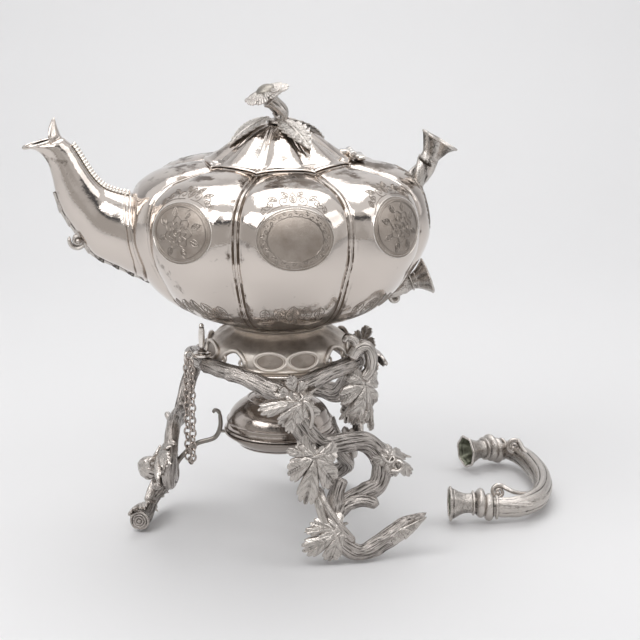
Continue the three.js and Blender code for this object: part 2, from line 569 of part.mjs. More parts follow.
function knuckleRow(centres, length) {
  const tube = turned([[hinge.pinRadius + clearance / 2, -length / 2], [hinge.radius, -length / 2], [hinge.radius, length / 2],
    [hinge.pinRadius + clearance / 2, length / 2]], { sides: 12, looped: true }).rotateX(Math.PI / 2);
  return centres.map((y) => tube.clone().translate(hingeAxis.x, y, hingeAxis.z));
}

function hingeBodyLeaf() {
  const step = hinge.knuckle + clearance;
  const [tubeA, tubeB] = knuckleRow([-step, step], hinge.knuckle);
  const half = step + hinge.knuckle / 2;
  const low = hingeAxis.z - hinge.radius - clearance;
  const plate = block(point(hingeAxis.x + hinge.radius + clearance, -half, low - overrun),
    point(hingeAxis.x + hinge.leafLength, half, low + hinge.leafThickness));
  const straps = [-step, step].map((y) => block(
    point(hingeAxis.x + hinge.pinRadius + hinge.strap, y - hinge.knuckle / 2, hingeAxis.z - hinge.radius),
    point(hingeAxis.x + hinge.radius + hinge.strapLap, y + hinge.knuckle / 2, hingeAxis.z - clearance)));
  return cut(joined(tubeA, tubeB, plate, ...straps), bodyEnvelope());
}

function hingeLidLeaf() {
  const [tube] = knuckleRow([0], hinge.knuckle);
  const strap = block(point(hingeAxis.x - hinge.leafLength, -hinge.knuckle / 2, hingeAxis.z - hinge.radius / 2),
    point(hingeAxis.x - hinge.pinRadius - hinge.strap, hinge.knuckle / 2,
      hingeAxis.z + hinge.leafThickness + hinge.strapLap));
  return cut(joined(tube, strap), lidEnvelope());
}

function hingePin() {
  const length = 3 * hinge.knuckle + 4 * clearance;
  return bar(hinge.pinRadius, length, 12).rotateX(Math.PI / 2).translate(hingeAxis.x, length / 2, hingeAxis.z);
}

// Stand

const legPoint = ([across, out, up, girth]) => [across * leg.across, -out * leg.out,
  Math.max(up * leg.height, girth * leg.girth - leg.footing), girth * leg.girth];
const bark = (a, u) => 1 + 0.07 * Math.cos(3 * a + 9 * u);

// The trunk is flatter from front to back than across its face
function trunk(wholeFoot, grow = 0) {
  const stations = [...trunkShares, ...(wholeFoot ? wholeFootShares : cutFootShares)].map(legPoint);
  return rod(stations.map(([x, y, z, r]) => [x, y / leg.flatness, z, r]),
    { steps: wholeFoot ? 18 : 15, sides: 6, grow, ridge: bark, domed: false }).scale(1, leg.flatness, 1);
}

// Half the way to the next leg's fork, where two arms meet end to end
const armReach = 60;

function armRod(side, grow = 0) {
  return rod(armShares.map(([share, r, z, girth]) => {
    const at = polar(r * arm.radius, fork.azimuth + side * share * armReach, z * arm.height);
    return [at.x, at.y, at.z, girth * arm.girth];
  }), { steps: 5, sides: 6, grow, domed: false, ridge: (a, u) => 1 + 0.06 * Math.cos(3 * a + 5 * u) });
}

// A place on the leg, as shares of its sizes, and a direction there
const beside = (across, out, up) => point(across * leg.across, -out * leg.out, up * leg.height);
const toward = (across, out, up) => point(across, -out, up);

// The trunk of a leg, the two stubs of cut branches on it, a twig and a shoot
function legBranches(wholeFoot, grow = 0) {
  return [trunk(wholeFoot, grow),
    rod(stubShares.map(legPoint), { steps: 3, grow, domed: false }),
    rod(sideStubShares.map(legPoint), { steps: 4, grow }),
    rod(twigShares.map(legPoint), { steps: 5, sides: 5, grow, domed: false }),
    rod(shootShares.map(legPoint), { steps: 3, sides: 5, grow })];
}

// Cutters that end the two arms on flat faces, half a clearance short of the next leg's
function armEnds() {
  return [1, -1].map((side) => {
    const [near, far] = [arm.radius - 2 * arm.girth, arm.radius + 2 * arm.girth];
    const [edge, beyond] = [-side * clearance / 2, side * 4 * arm.girth];
    const cutter = block(point(Math.min(edge, beyond), -far, arm.height - 2 * arm.girth),
      point(Math.max(edge, beyond), -near, arm.height + 2 * arm.girth));
    return cutter.rotateZ((fork.azimuth + side * armReach) * degree);
  });
}

function legCasting({ wholeFoot }) {
  const upright = placed(leaf(uprightLeaf, { teeth: 2, curl: -0.3 }),
    beside(-0.164, 0.781, 0.926), toward(0, 0.12, 1), toward(0, 1, 0));
  const curled = placed(leaf(curledLeaf, { curl: 1.1, notch: 0.3 }),
    beside(-0.033, 0.823, 0.934), toward(-1, 0.2, -0.25), toward(0.1, 1, 0.35));
  const knee = placed(vine(kneeLeaf), beside(0.164, 0.85, 0.48), toward(-0.35, 0, -1), toward(-0.25, 1, 0.1));
  const rolled = placed(leaf(rolledLeaf, { curl: 1.5, cup: 0.8 }),
    beside(1.05, 0.74, 0.51), toward(1, 0.3, -0.2), toward(0, 0.6, 1));
  const atFoot = placed(vine(footLeaf, { droop: 0.45, notch: 0.24 }),
    beside(0.197, 1.031, 0.116), toward(-1, 0, -0.5), toward(-0.3, 1, 0.25));
  const ground = block(point(-leg.out, -2 * leg.out, -leg.girth * 2), point(2 * leg.out, leg.out, 0));
  return cut(joined(...legBranches(wholeFoot), armRod(1), armRod(-1), upright, curled,
    knee, rolled, atFoot), ground, ...armEnds());
}

function seatRing() {
  const { inner, outer, thickness, height } = seat;
  const ring = turned([[inner, height - thickness], [outer, height - thickness], [outer, height], [inner, height]],
    { sides: 32, looped: true });
  const arms = legs.flatMap(({ azimuth }) => [1, -1].map((side) => armRod(side, clearance).rotateZ(azimuth * degree)));
  return cut(ring, ...arms);
}

const lampLedge = lamp.flangeHeight - clearance;

function lampArmWire() {
  const upright = lamp.flangeRadius + lampArm.wire + 3 * clearance;
  const path = lampArmShares.map(([r, z]) => [0, -r * leg.out, z * seat.height, lampArm.wire]);
  const wire = rod([...path, [0, -(upright + lampArm.toeOut), lampLedge - lampArm.toeDrop, lampArm.wire],
    [0, -upright, lampLedge + lampArm.ledgeDepth, lampArm.wire], [0, -upright, lampLedge + lampArm.stop, lampArm.wire]],
  { steps: 11, sides: 5 });
  const ledge = block(point(-lampArm.wire, -upright - lampArm.wire / 2, lampLedge - lampArm.ledgeDepth),
    point(lampArm.wire, -upright + lampArm.ledge, lampLedge));
  return joined(wire, ledge);
}

const armTurn = 17; // degrees from a leg to the lamp arm that it holds

// Lamp

const lampBottom = lamp.flangeHeight - lamp.bowlDepth;

function lampBowl() {
  const skin = smooth(bowlShares.map(([r, z]) => [r * lamp.bowlRadius, lampBottom + z * lamp.bowlDepth]), 5);
  const inside = skin.slice(1).map(([r, z]) => [r - lamp.wall, z + lamp.wall]).reverse();
  const top = lamp.flangeHeight + lamp.flangeThickness;
  return turned([...skin, [lamp.flangeRadius, lamp.flangeHeight], [lamp.flangeRadius, top],
    [lamp.bowlRadius - lamp.wall, top], ...inside.slice(1), [0, lampBottom + lamp.wall]], { sides: 20 });
}

function lampDome() {
  const base = lamp.flangeHeight + lamp.flangeThickness + clearance;
  const skin = smooth(domeShares.map(([r, z]) => [
    r * lamp.flangeRadius, base + lamp.girdle * 2 + z * (lamp.domeHeight - lamp.girdle)]), 5);
  const inside = skin.filter((_, i) => i % 2 === 0)
    .map(([r, z]) => [Math.max(r - lamp.wall, lamp.mouthRadius), z - lamp.wall]).reverse();
  const rim = lamp.flangeRadius - lamp.girdle / 2;
  return turned([[rim - 2 * lamp.girdle, base], [rim, base], [rim, base + lamp.girdle],
    [rim - lamp.girdle, base + lamp.girdle * 1.5], ...skin,
    [lamp.mouthRadius, skin.at(-1)[1]], ...inside], { sides: 20, looped: true });
}

const domeTop = lamp.flangeHeight + lamp.flangeThickness + clearance + lamp.girdle + lamp.domeHeight;

function wickTube() {
  const base = domeTop + clearance;
  return turned([[burner.wickRadius + clearance, base - burner.depth], [burner.tubeRadius, base - burner.depth],
    [burner.tubeRadius, base], [burner.collar, base], [burner.collar, base + burner.collarHeight],
    [burner.tubeRadius, base + 1.4 * burner.collarHeight],
    [burner.tubeRadius, base + burner.tubeHeight], [burner.wickRadius + clearance, base + burner.tubeHeight]],
  { sides: 14, looped: true });
}

function wick() {
  const low = domeTop + clearance - burner.depth;
  return bar(burner.wickRadius, burner.depth + burner.tubeHeight + burner.wickProud, 12).translate(0, 0, low);
}

// Locking pin, its lug and the chain

const lugHeight = arm.height + arm.girth * 0.76 + clearance;
const lugPlace = polar(lug.radius, lug.azimuth, lugHeight);
const chainPlace = polar(lug.radius + lug.ring + lug.eye, lug.azimuth - 1, lugHeight);

function pinLug() {
  const ring = turned([[lug.hole, 0], [lug.ring, 0], [lug.ring, lug.thickness], [lug.hole, lug.thickness]],
    { sides: 16, looped: true })
    .translate(lugPlace.x, lugPlace.y, lugPlace.z);
  const eye = link(lug.eye, lug.eyeWire, 8, 6);
  const outward = polar(1, lug.azimuth, 0);
  const turnedEye = placed(eye, chainPlace.clone().add(point(0, 0, lug.thickness / 2)), outward, polar(1, lug.azimuth + 90, 0));
  const arms = legs.flatMap(({ azimuth }) => [1, -1].map((side) => armRod(side, clearance).rotateZ(azimuth * degree)));
  return cut(joined(ring, turnedEye), ...arms);
}

function lockPin() {
  const { length, radius, collar, collarHeight } = pin;
  const fit = lug.hole - clearance;
  const seatAt = lug.thickness + clearance;
  return turned([[0, clearance], [fit, clearance], [fit, seatAt], [collar, seatAt], [collar, seatAt + collarHeight],
    [radius * 0.8, seatAt + 2 * collarHeight], [radius, length * 0.55], [radius * 0.85, length * 0.85],
    [radius * 0.5, length * 0.97], [0, length]], { sides: 10 }).translate(lugPlace.x, lugPlace.y, lugPlace.z);
}

// A closed wire link that lies in the XY plane round the origin
function link(radius, wire, steps = 6, sides = 3) {
  return skinned(Array.from({ length: steps }, (_, k) => {
    const a = (k / steps) * turn;
    return Array.from({ length: sides }, (__, i) => {
      const b = (i / sides) * turn;
      const r = radius - wire * Math.cos(b);
      return point(r * Math.cos(a), r * Math.sin(a), wire * Math.sin(b));
    });
  }), true);
}

// The doubled chain: down one strand, round the bottom link and up the other
function hangingChain() {
  const half = chain.spread / 2;
  const ringDrop = lug.eye + chain.ring - lug.eyeWire - chain.ringWire - chain.slack;
  const top = chainPlace.clone().add(point(0, 0, lug.thickness / 2 - ringDrop));
  const straight = chain.drop - chain.ring;
  const total = 2 * straight + Math.PI * half;
  const count = 2 * Math.round(total / chain.pitch / 2);
  const step = total / count;
  const across = polar(1, lug.azimuth + 90, 0);
  const outward = polar(1, lug.azimuth, 0);
  const at = (s) => {
    const bend = THREE.MathUtils.clamp((s - straight) / half, 0, Math.PI);
    const down = s < straight ? s : s > total - straight ? total - s : straight + half * Math.sin(bend);
    return { side: -half * Math.cos(bend), down, angle: bend };
  };
  const links = Array.from({ length: count + 1 }, (_, k) => {
    const { side, down, angle } = at(k * step);
    const grow = point(0, 0, -Math.cos(angle)).addScaledVector(across, Math.sin(angle));
    const normal = grow.clone().cross(outward);
    const place = top.clone().addScaledVector(across, side).add(point(0, 0, -down));
    return placed(link(chain.link, chain.wire), place, grow, k % 2 === 0 ? outward : normal);
  });
  const ring = placed(link(chain.ring, chain.ringWire, 10, 5), top, across, outward);
  return joined(ring, ...links);
}

// Loose handle, lying on its side on the table

const gripLow = grip.height / 2;
const gripEnds = gripShares.map(([d, s]) => [grip.left + d * grip.depth, s * grip.span / 2]);

function handleGrip() {
  const curve = new THREE.CatmullRomCurve3(gripEnds.map(([x, y]) => point(x, y, gripLow)), false, 'centripetal');
  const steps = 14;
  const sides = 2 * grip.ribs;
  const rings = Array.from({ length: steps + 1 }, (_, k) => {
    const u = k / steps;
    const centre = curve.getPointAt(u);
    const ahead = curve.getTangentAt(u);
    const side = point(-ahead.y, ahead.x, 0);
    const swell = 0.66 + 0.34 * Math.sin(Math.PI * u) ** 0.6;
    return Array.from({ length: sides }, (__, i) => {
      const a = (i / sides) * turn;
      const rib = i % 2 === 0 ? 1 : 0.9;
      return centre.clone().addScaledVector(side, (grip.thickness / 2) * swell * rib * Math.cos(a))
        .add(point(0, 0, (grip.height / 2) * swell * rib * Math.sin(a)));
    });
  });
  const curls = [0.2, 0.86].map((u) => {
    const at = curve.getPointAt(u);
    return bar(grip.curlRadius, grip.curlHeight, 10).translate(at.x, at.y, at.z + grip.height / 2 - grip.curlSunk);
  });
  return joined(skinned(rings), ...curls);
}

function handleEnd(first) {
  const end = first ? gripEnds[0] : gripEnds.at(-1);
  const next = first ? gripEnds[1] : gripEnds.at(-2);
  const aim = point(end[0] - next[0], end[1] - next[1], 0).normalize();
  const at = point(end[0], end[1], trumpet.mouthRadius).addScaledVector(aim, clearance);
  return { at, aim };
}

function handleTrumpet(first) {
  const { at, aim } = handleEnd(first);
  const { mouthRadius: mouth, length, wall, collar } = trumpet;
  const outline = [[0, 0], [collar * 0.7, 0], [collar, length * 0.08], [collar, length * 0.2], [collar * 0.72, length * 0.28],
    [collar * 0.68, length * 0.6], [mouth * 0.8, length * 0.86], [mouth, length], [mouth - wall, length],
    [mouth * 0.66, length * 0.84], [collar * 0.45, length * 0.6], [0, length * 0.55]];
  return stood(turned(outline, { sides: 12 }), at, aim);
}

// Assembly

const silver = { roughness: 0.25, metalness: 1 };

function mesh(name, geometry, { colour = 0xc9c4bd, roughness = silver.roughness, metalness = silver.metalness } = {}) {
  const piece = new THREE.Mesh(geometry, new THREE.MeshStandardMaterial({ color: colour, roughness, metalness }));
  piece.name = name;
  return piece;
}

const cast = { colour: 0xb4aca2, roughness: 0.45 };
const dark = { colour: 0x6f6a66, roughness: 0.4 };

const stand = new THREE.Group();
legs.forEach((item) => {
  const side = new THREE.Group();
  side.rotation.z = item.azimuth * degree;
  side.add(mesh(`leg_${item.name}`, legCasting(item), cast));
  const wire = cut(lampArmWire().rotateZ(armTurn * degree), ...legBranches(item.wholeFoot, clearance));
  side.add(mesh(`lamp_arm_${item.name}`, wire, dark));
  stand.add(side);
});
stand.add(mesh('seat_ring', seatRing(), cast));
stand.add(mesh('pin_lug', pinLug(), cast));
stand.add(mesh('lock_pin', lockPin()));
stand.add(mesh('pin_chain', hangingChain(), cast));

const kettle = new THREE.Group();
kettle.position.z = seat.height + clearance;
kettle.add(mesh('kettle_body', kettleBody()));
kettle.add(mesh('gallery_foot', galleryFoot(), cast));
kettle.add(mesh('spout', spoutBody()));
kettle.add(mesh('spout_crest', crestStrip(), cast));
kettle.add(mesh('spout_keel', keelStrip(), cast));
kettle.add(mesh('socket_upper', upperSocket(), cast));
kettle.add(mesh('socket_lower', lowerSocket(), cast));
kettle.add(mesh('hinge_leaf_body', hingeBodyLeaf()));
kettle.add(mesh('hinge_pin', hingePin()));
kettle.add(mesh('hinge_leaf_lid', hingeLidLeaf()));
kettle.add(mesh('lid', lidShell()));
kettle.add(mesh('finial_stem', finialStem(), cast));
kettle.add(mesh('finial_flower', finialFlower(), cast));
kettle.add(mesh('finial_nut', finialNut()));
kettle.add(mesh('finial_leaf_front', finialLeaf(31, 0, 0.45), cast));
kettle.add(mesh('finial_leaf_left', finialLeaf(-78, lidLeaf.raise, 0.55), cast));
kettle.add(mesh('finial_leaf_right', finialLeaf(112, 0, 0.45), cast));

const lampSet = new THREE.Group();
lampSet.add(mesh('lamp_bowl', lampBowl()));
lampSet.add(mesh('lamp_dome', lampDome()));
lampSet.add(mesh('wick_tube', wickTube()));
lampSet.add(mesh('wick', wick(), { colour: 0xe6dfcf, roughness: 0.95, metalness: 0 }));

const handle = new THREE.Group();
handle.rotation.z = -grip.turn * degree;
handle.position.set(grip.middle * Math.sin(grip.turn * degree), grip.middle * Math.cos(grip.turn * degree), 0);
handle.add(mesh('handle_grip', handleGrip(), cast));
handle.add(mesh('handle_trumpet_front', handleTrumpet(true), cast));
handle.add(mesh('handle_trumpet_back', handleTrumpet(false), cast));

const kettleSet = new THREE.Group();
kettleSet.add(stand, kettle, lampSet, handle);
kettleSet.updateMatrixWorld(true);
const extent = new THREE.Box3().setFromObject(kettleSet, true);
const middle = extent.getCenter(point(0, 0, 0));
kettleSet.position.set(-middle.x, -middle.y, -extent.min.z);

export default kettleSet;
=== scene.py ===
import math
import bpy
import bmesh
import numpy as np
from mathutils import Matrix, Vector


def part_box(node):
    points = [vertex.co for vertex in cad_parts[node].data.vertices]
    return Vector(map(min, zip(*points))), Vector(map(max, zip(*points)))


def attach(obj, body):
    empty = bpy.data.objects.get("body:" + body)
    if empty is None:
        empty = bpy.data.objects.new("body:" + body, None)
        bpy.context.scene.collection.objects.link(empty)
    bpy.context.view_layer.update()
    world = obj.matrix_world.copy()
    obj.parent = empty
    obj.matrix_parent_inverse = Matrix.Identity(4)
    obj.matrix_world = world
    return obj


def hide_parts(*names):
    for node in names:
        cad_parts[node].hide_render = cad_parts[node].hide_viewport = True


# Silver spirit kettle on a stand of vine branches. Sizes are in millimetres about the
# kettle's upright axis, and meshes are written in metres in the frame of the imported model.

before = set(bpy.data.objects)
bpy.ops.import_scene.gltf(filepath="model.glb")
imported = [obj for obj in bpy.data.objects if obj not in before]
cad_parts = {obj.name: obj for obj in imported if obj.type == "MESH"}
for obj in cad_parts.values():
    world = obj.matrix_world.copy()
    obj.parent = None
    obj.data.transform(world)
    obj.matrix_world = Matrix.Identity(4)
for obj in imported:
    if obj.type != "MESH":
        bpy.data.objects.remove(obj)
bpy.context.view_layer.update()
lampLow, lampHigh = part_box("lamp_bowl")
axis = np.array([(lampLow[0] + lampHigh[0]) / 2, (lampLow[1] + lampHigh[1]) / 2, 0.0])
mm = 0.001
fullTurn = 2 * math.pi
degree = math.pi / 180
rng = np.random.default_rng(7)


# Curves and surfaces

def smoothstep(x, low, high):
    s = np.clip((np.asarray(x, float) - low) / (high - low), 0, 1)
    return s * s * (3 - 2 * s)


def arcLengths(points):
    return np.concatenate([[0], np.cumsum(np.linalg.norm(np.diff(points, axis=0), axis=1))])


# Between station i and the next one, s runs from 0 to 1 over a length h
def hermite(p, slope, i, s, h=1.0):
    return ((2 * s**3 - 3 * s**2 + 1) * p[i] + (s**3 - 2 * s**2 + s) * h * slope[i]
            + (3 * s**2 - 2 * s**3) * p[i + 1] + (s**3 - s**2) * h * slope[i + 1])


# A smooth curve through stations, sampled at even arc lengths
def spline(stations, count):
    p = np.array(stations, float)
    d = np.maximum(np.sqrt(np.linalg.norm(np.diff(p[:, :3], axis=0), axis=1)), 1e-6)
    t = np.concatenate([[0], np.cumsum(d)])
    slope = np.gradient(p, t, axis=0) if len(p) > 2 else np.repeat((p[1:] - p[:1]) / t[-1], 2, axis=0)
    at = np.linspace(0, t[-1], max(24 * len(p), count + 1))
    i = np.clip(np.searchsorted(t, at, "right") - 1, 0, len(p) - 2)
    h = (t[i + 1] - t[i])[:, None]
    q = hermite(p, slope, i, (at - t[i])[:, None] / h, h)
    arc = arcLengths(q[:, :3])
    to = np.linspace(0, arc[-1], count + 1)
    return np.stack([np.interp(to, arc, q[:, k]) for k in range(q.shape[1])], axis=1)


def flatCurve(points, count):
    return spline(np.c_[points, np.zeros(len(points))], count)[:, :2]


def turnAngles(count):
    return np.arange(count) / count * fullTurn


def aroundAxis(radius, angles, height):
    return np.stack([radius * np.cos(angles), radius * np.sin(angles), height + 0 * angles], -1)


# A flat coil that closes in on its middle, and how far along it each point lies
def coil(radius, turns, start=0.0, count=40, shrink=0.8):
    t = np.linspace(0, 1, count)
    r = radius * (1 - shrink * t)
    angle = start + turns * fullTurn * t
    return r * np.cos(angle), r * np.sin(angle), t


def unit(v):
    v = np.asarray(v, float)
    return v / np.maximum(np.linalg.norm(v, axis=-1, keepdims=True), 1e-9)


# A surface from rows of points: (rows, columns, 3). keep drops faces by a row and column mask.
def surface(rows, around=True, caps=(False, False), keep=None, grain=None):
    rows = np.asarray(rows, float)
    count, width = rows.shape[:2]
    index = np.arange(count * width).reshape(count, width)
    right = np.roll(index, -1, axis=1) if around else index[:, 1:]
    left = index if around else index[:, :-1]
    quads = np.stack([left[:-1], right[:-1], right[1:], left[1:]], axis=-1)
    if keep is not None:
        quads = quads[keep[: quads.shape[0], : quads.shape[1]]]
    faces = quads.reshape(-1, 4).tolist()
    if caps[0]:
        faces.append(index[0, ::-1].tolist())
    if caps[1]:
        faces.append(index[-1].tolist())
    points = rows.reshape(-1, 3)
    return points, faces, points.copy() if grain is None else np.asarray(grain, float).reshape(-1, 3)


# A shape turned about Z from [radius, height] points. swell(angle, height) scales the radius.
def turnedShape(outline, sides=96, swell=None, smooth=0, looped=False):
    line = flatCurve(outline, smooth) if smooth else np.array(outline, float)
    if looped:
        line = np.r_[line, line[:1]]
    a = turnAngles(sides)
    radius, height = line[:, :1] + 0 * a, line[:, 1:2] + 0 * a
    if swell is not None:
        radius = radius * swell(a[None, :], height)
    return surface(aroundAxis(radius, a, height))


# A rod along stations of [x, y, z, radius]. relief(angle, along) adds to the radius.
def rod(stations, sides=16, steps=48, relief=None, ends="round"):
    q = spline(stations, steps)
    centre, radius = q[:, :3], q[:, 3:]
    ahead = unit(np.gradient(centre, axis=0))
    side = np.zeros_like(centre)
    first = np.cross(ahead[0], [0.0, 0.0, 1.0])
    side[0] = unit(first if np.linalg.norm(first) > 0.05 else np.cross(ahead[0], [0.0, 1.0, 0.0]))
    for k in range(1, len(q)):
        side[k] = unit(side[k - 1] - ahead[k] * np.dot(side[k - 1], ahead[k]))
    up = np.cross(ahead, side)
    along = arcLengths(centre)[:, None]
    a = turnAngles(sides)
    reach = radius + 0 * a + (0 if relief is None else relief(a[None, :], along))
    if ends == "round":
        lead = min(4, steps // 4)
        for k in range(lead):
            reach[[k, len(q) - 1 - k]] *= math.cos((1 - (k + 0.15) / lead) * math.pi / 2)
    rows = (centre[:, None] + side[:, None] * (reach * np.cos(a))[..., None]
            + up[:, None] * (reach * np.sin(a))[..., None])
    grain = aroundAxis(radius, a, along * 0.07)
    return surface(rows, caps=(True, True), grain=grain)


def basis(grow, face):
    x = unit(grow)
    y = unit(np.cross(face, x))
    return np.stack([x, y, np.cross(x, y)], axis=1)


def moved(part, matrix=None, at=(0, 0, 0)):
    points, faces, grain = part
    if matrix is not None:
        points = points @ np.asarray(matrix).T
    return points + np.asarray(at, float), faces, grain


def placedAs(part, at, grow, face):
    return moved(part, basis(grow, face), at)


def stoodAlong(part, at, direction):
    z = unit(direction)
    hint = [1.0, 0, 0] if abs(z[0]) < 0.9 else [0, 1.0, 0]
    x = unit(np.cross(hint, z))
    return moved(part, np.stack([x, np.cross(z, x), z], axis=1), at)


def spun(part, angle):
    c, s = math.cos(angle), math.sin(angle)
    return moved(part, [[c, -s, 0], [s, c, 0], [0, 0, 1]])


def polar(radius, azimuth, height):
    return np.array([radius * math.sin(azimuth * degree), -radius * math.cos(azimuth * degree), height])


def ball(radius, at, sides=12, squash=1.0):
    line = [[radius * math.sin(t), -radius * squash * math.cos(t)]
            for t in np.linspace(0.02, math.pi - 0.02, 8)]
    return moved(turnedShape(line, sides), at=at)


# Two marks for the finish: how deep in a hollow and how proud on a ridge each point lies. The hollow mark
# darkens the colour as tarnish and as painted shade in recesses; the ridge mark brightens it as rubbed wear.
def markShadeTarnishAndWear(mesh, depth, shadeAndTarnish=None, reach=8):
    n = len(mesh.vertices)
    place, normal = np.empty(n * 3), np.empty(n * 3)
    mesh.vertices.foreach_get("co", place)
    mesh.vertices.foreach_get("normal", normal)
    place, normal = (place.reshape(n, 3) - axis) / mm, normal.reshape(n, 3)
    ends = np.empty(len(mesh.edges) * 2, int)
    mesh.edges.foreach_get("vertices", ends)
    a, b = ends.reshape(-1, 2).T
    count = np.maximum(np.bincount(a, minlength=n) + np.bincount(b, minlength=n), 1)
    soft, sunk = place.copy(), np.zeros(n)
    weights = {1: 1.6, reach - 1: 0.8}  # fine folds after two rounds of smoothing, broad ones at the end
    for step in range(reach):
        around = [np.bincount(a, soft[b, k], n) + np.bincount(b, soft[a, k], n) for k in range(3)]
        soft = 0.5 * soft + 0.5 * np.stack(around, -1) / count[:, None]
        if step in weights:
            sunk += ((soft - place) * normal).sum(1) / depth * weights[step]
    # extra darkening given by the piece: painted shade and tarnish
    addedShadeAndTarnish = 0 if shadeAndTarnish is None else shadeAndTarnish(place)
    for name, mark in (("hollow", np.clip(sunk + addedShadeAndTarnish, 0, 1)), ("edge", np.clip(-sunk - 0.1, 0, 1))):
        mesh.attributes.new(name, "FLOAT", "POINT").data.foreach_set("value", mark.astype(np.float32))


# One piece of the scene: its parts, finish and body, and the nodes that it stands for
def addPiece(name, parts, finish, body, stands=(), sharp=48, depth=0.3, shadeAndTarnish=None):
    points, faces, grain, start = [], [], [], 0
    for p, f, g in parts:
        points.append(p)
        grain.append(g)
        faces.extend([[i + start for i in face] for face in f])
        start += len(p)
    points, grain = np.concatenate(points), np.concatenate(grain)
    mesh = bpy.data.meshes.new(name)
    mesh.from_pydata((points * mm + axis).tolist(), [], faces)
    work = bmesh.new()
    work.from_mesh(mesh)
    bmesh.ops.recalc_face_normals(work, faces=work.faces)
    work.to_mesh(mesh)
    work.free()
    mesh.attributes.new("grain", "FLOAT_VECTOR",
                        "POINT").data.foreach_set("vector", grain.astype(np.float32).ravel())
    mesh.polygons.foreach_set("use_smooth", [True] * len(mesh.polygons))
    mesh.set_sharp_from_angle(angle=sharp * degree)
    markShadeTarnishAndWear(mesh, depth, shadeAndTarnish)
    mesh.materials.append(finish)
    piece = bpy.data.objects.new(name, mesh)
    bpy.context.scene.collection.objects.link(piece)
    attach(piece, body)
    if stands:
        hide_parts(*stands)


# Finishes

def nodeTree(tree):
    tree.nodes.clear()

    def add(kind, inputs=None, **settings):
        node = tree.nodes.new(kind)
        for key, value in settings.items():
            setattr(node, key, value)
        for key, value in (inputs or {}).items():
            if hasattr(value, "is_output"):
                tree.links.new(value, node.inputs[key])
            else:
                node.inputs[key].default_value = value
        return node

    def maths(operation, first, second, clamp=False):
        return add("ShaderNodeMath", {0: first, 1: second}, operation=operation, use_clamp=clamp).outputs[0]

    def ranged(value, low, high, toLow=0.0, toHigh=1.0, **settings):
        spans = {"Value": value, "From Min": low, "From Max": high, "To Min": toLow, "To Max": toHigh}
        return add("ShaderNodeMapRange", spans, **settings).outputs[0]

    return add, maths, ranged


# Silver that is bright where it is rubbed, and brown-black in its hollows, as tarnish where polish never
# reaches and as painted shade
silverInputs = [
    ("Hollow", 0.0), ("Edge", 0.0), ("Bright", (0.8, 0.78, 0.75, 1)), ("Tarnish", (0.2, 0.17, 0.14, 1)),
    ("Spread", 0.3), ("Depth", 1.0), ("Blotch", 0.05), ("Smooth", 0.12), ("Rough", 0.45), ("Fine", 1.2),
    ("Lines", 0.0), ("Patchy", 0.0),
]


def silverGroup():
    group = bpy.data.node_groups.new("tarnishedSilver", "ShaderNodeTree")
    face = group.interface
    face.new_socket(name="Grain", in_out="INPUT", socket_type="NodeSocketVector")
    for name, value in silverInputs:
        kind = "NodeSocketColor" if isinstance(value, tuple) else "NodeSocketFloat"
        face.new_socket(name=name, in_out="INPUT", socket_type=kind).default_value = value
    for name, kind in (("Color", "NodeSocketColor"), ("Roughness", "NodeSocketFloat"),
                       ("Height", "NodeSocketFloat")):
        face.new_socket(name=name, in_out="OUTPUT", socket_type=kind)
    add, maths, ranged = nodeTree(group)
    given = add("NodeGroupInput").outputs
    clouds = {"Vector": given["Grain"], "Scale": given["Blotch"], "Detail": 5.0, "Roughness": 0.62}
    cloud = add("ShaderNodeTexNoise", clouds).outputs[0]
    grains = {"Vector": given["Grain"], "Scale": given["Fine"], "Detail": 4.0, "Roughness": 0.6}
    fine = add("ShaderNodeTexNoise", grains).outputs[0]
    patches = maths("MULTIPLY", ranged(cloud, 0.42, 0.72), given["Spread"])
    # hollows darkened as tarnish and as painted shade, either softly mottled or with hard-edged patches
    hollow = maths("MULTIPLY", given["Hollow"], given["Depth"])
    mottled = maths("MULTIPLY", maths("MULTIPLY", hollow, ranged(fine, 0.3, 0.75, 0.55, 1.45)),
                    ranged(cloud, 0.36, 0.64, 0.35, 1.3))
    leaning = maths("ADD", ranged(cloud, 0.3, 0.7, -1.25, 0.45), ranged(fine, 0.3, 0.7, -0.3, 0.3))
    patched = maths("MULTIPLY", maths("ADD", hollow, leaning), 2.2, True)
    hollows = add("ShaderNodeMix", {0: given["Patchy"], 2: mottled, 3: patched}).outputs[0]
    lines = ranged(fine, 0.48, 0.6, 0.0, given["Lines"])
    dark = maths("ADD", maths("ADD", hollows, patches), lines, True)
    dull = maths("SUBTRACT", dark, given["Edge"], True)
    colour = add("ShaderNodeMix", {0: dull, 6: given["Bright"], 7: given["Tarnish"]}, data_type="RGBA")
    rough = maths("ADD", ranged(dull, 0.0, 1.0, given["Smooth"], given["Rough"]),
                  maths("MULTIPLY", fine, 0.05), True)
    height = maths("MULTIPLY", fine, -1.0)
    add("NodeGroupOutput", {"Color": colour.outputs[2], "Roughness": rough, "Height": height})
    return group


tarnishedSilver = silverGroup()


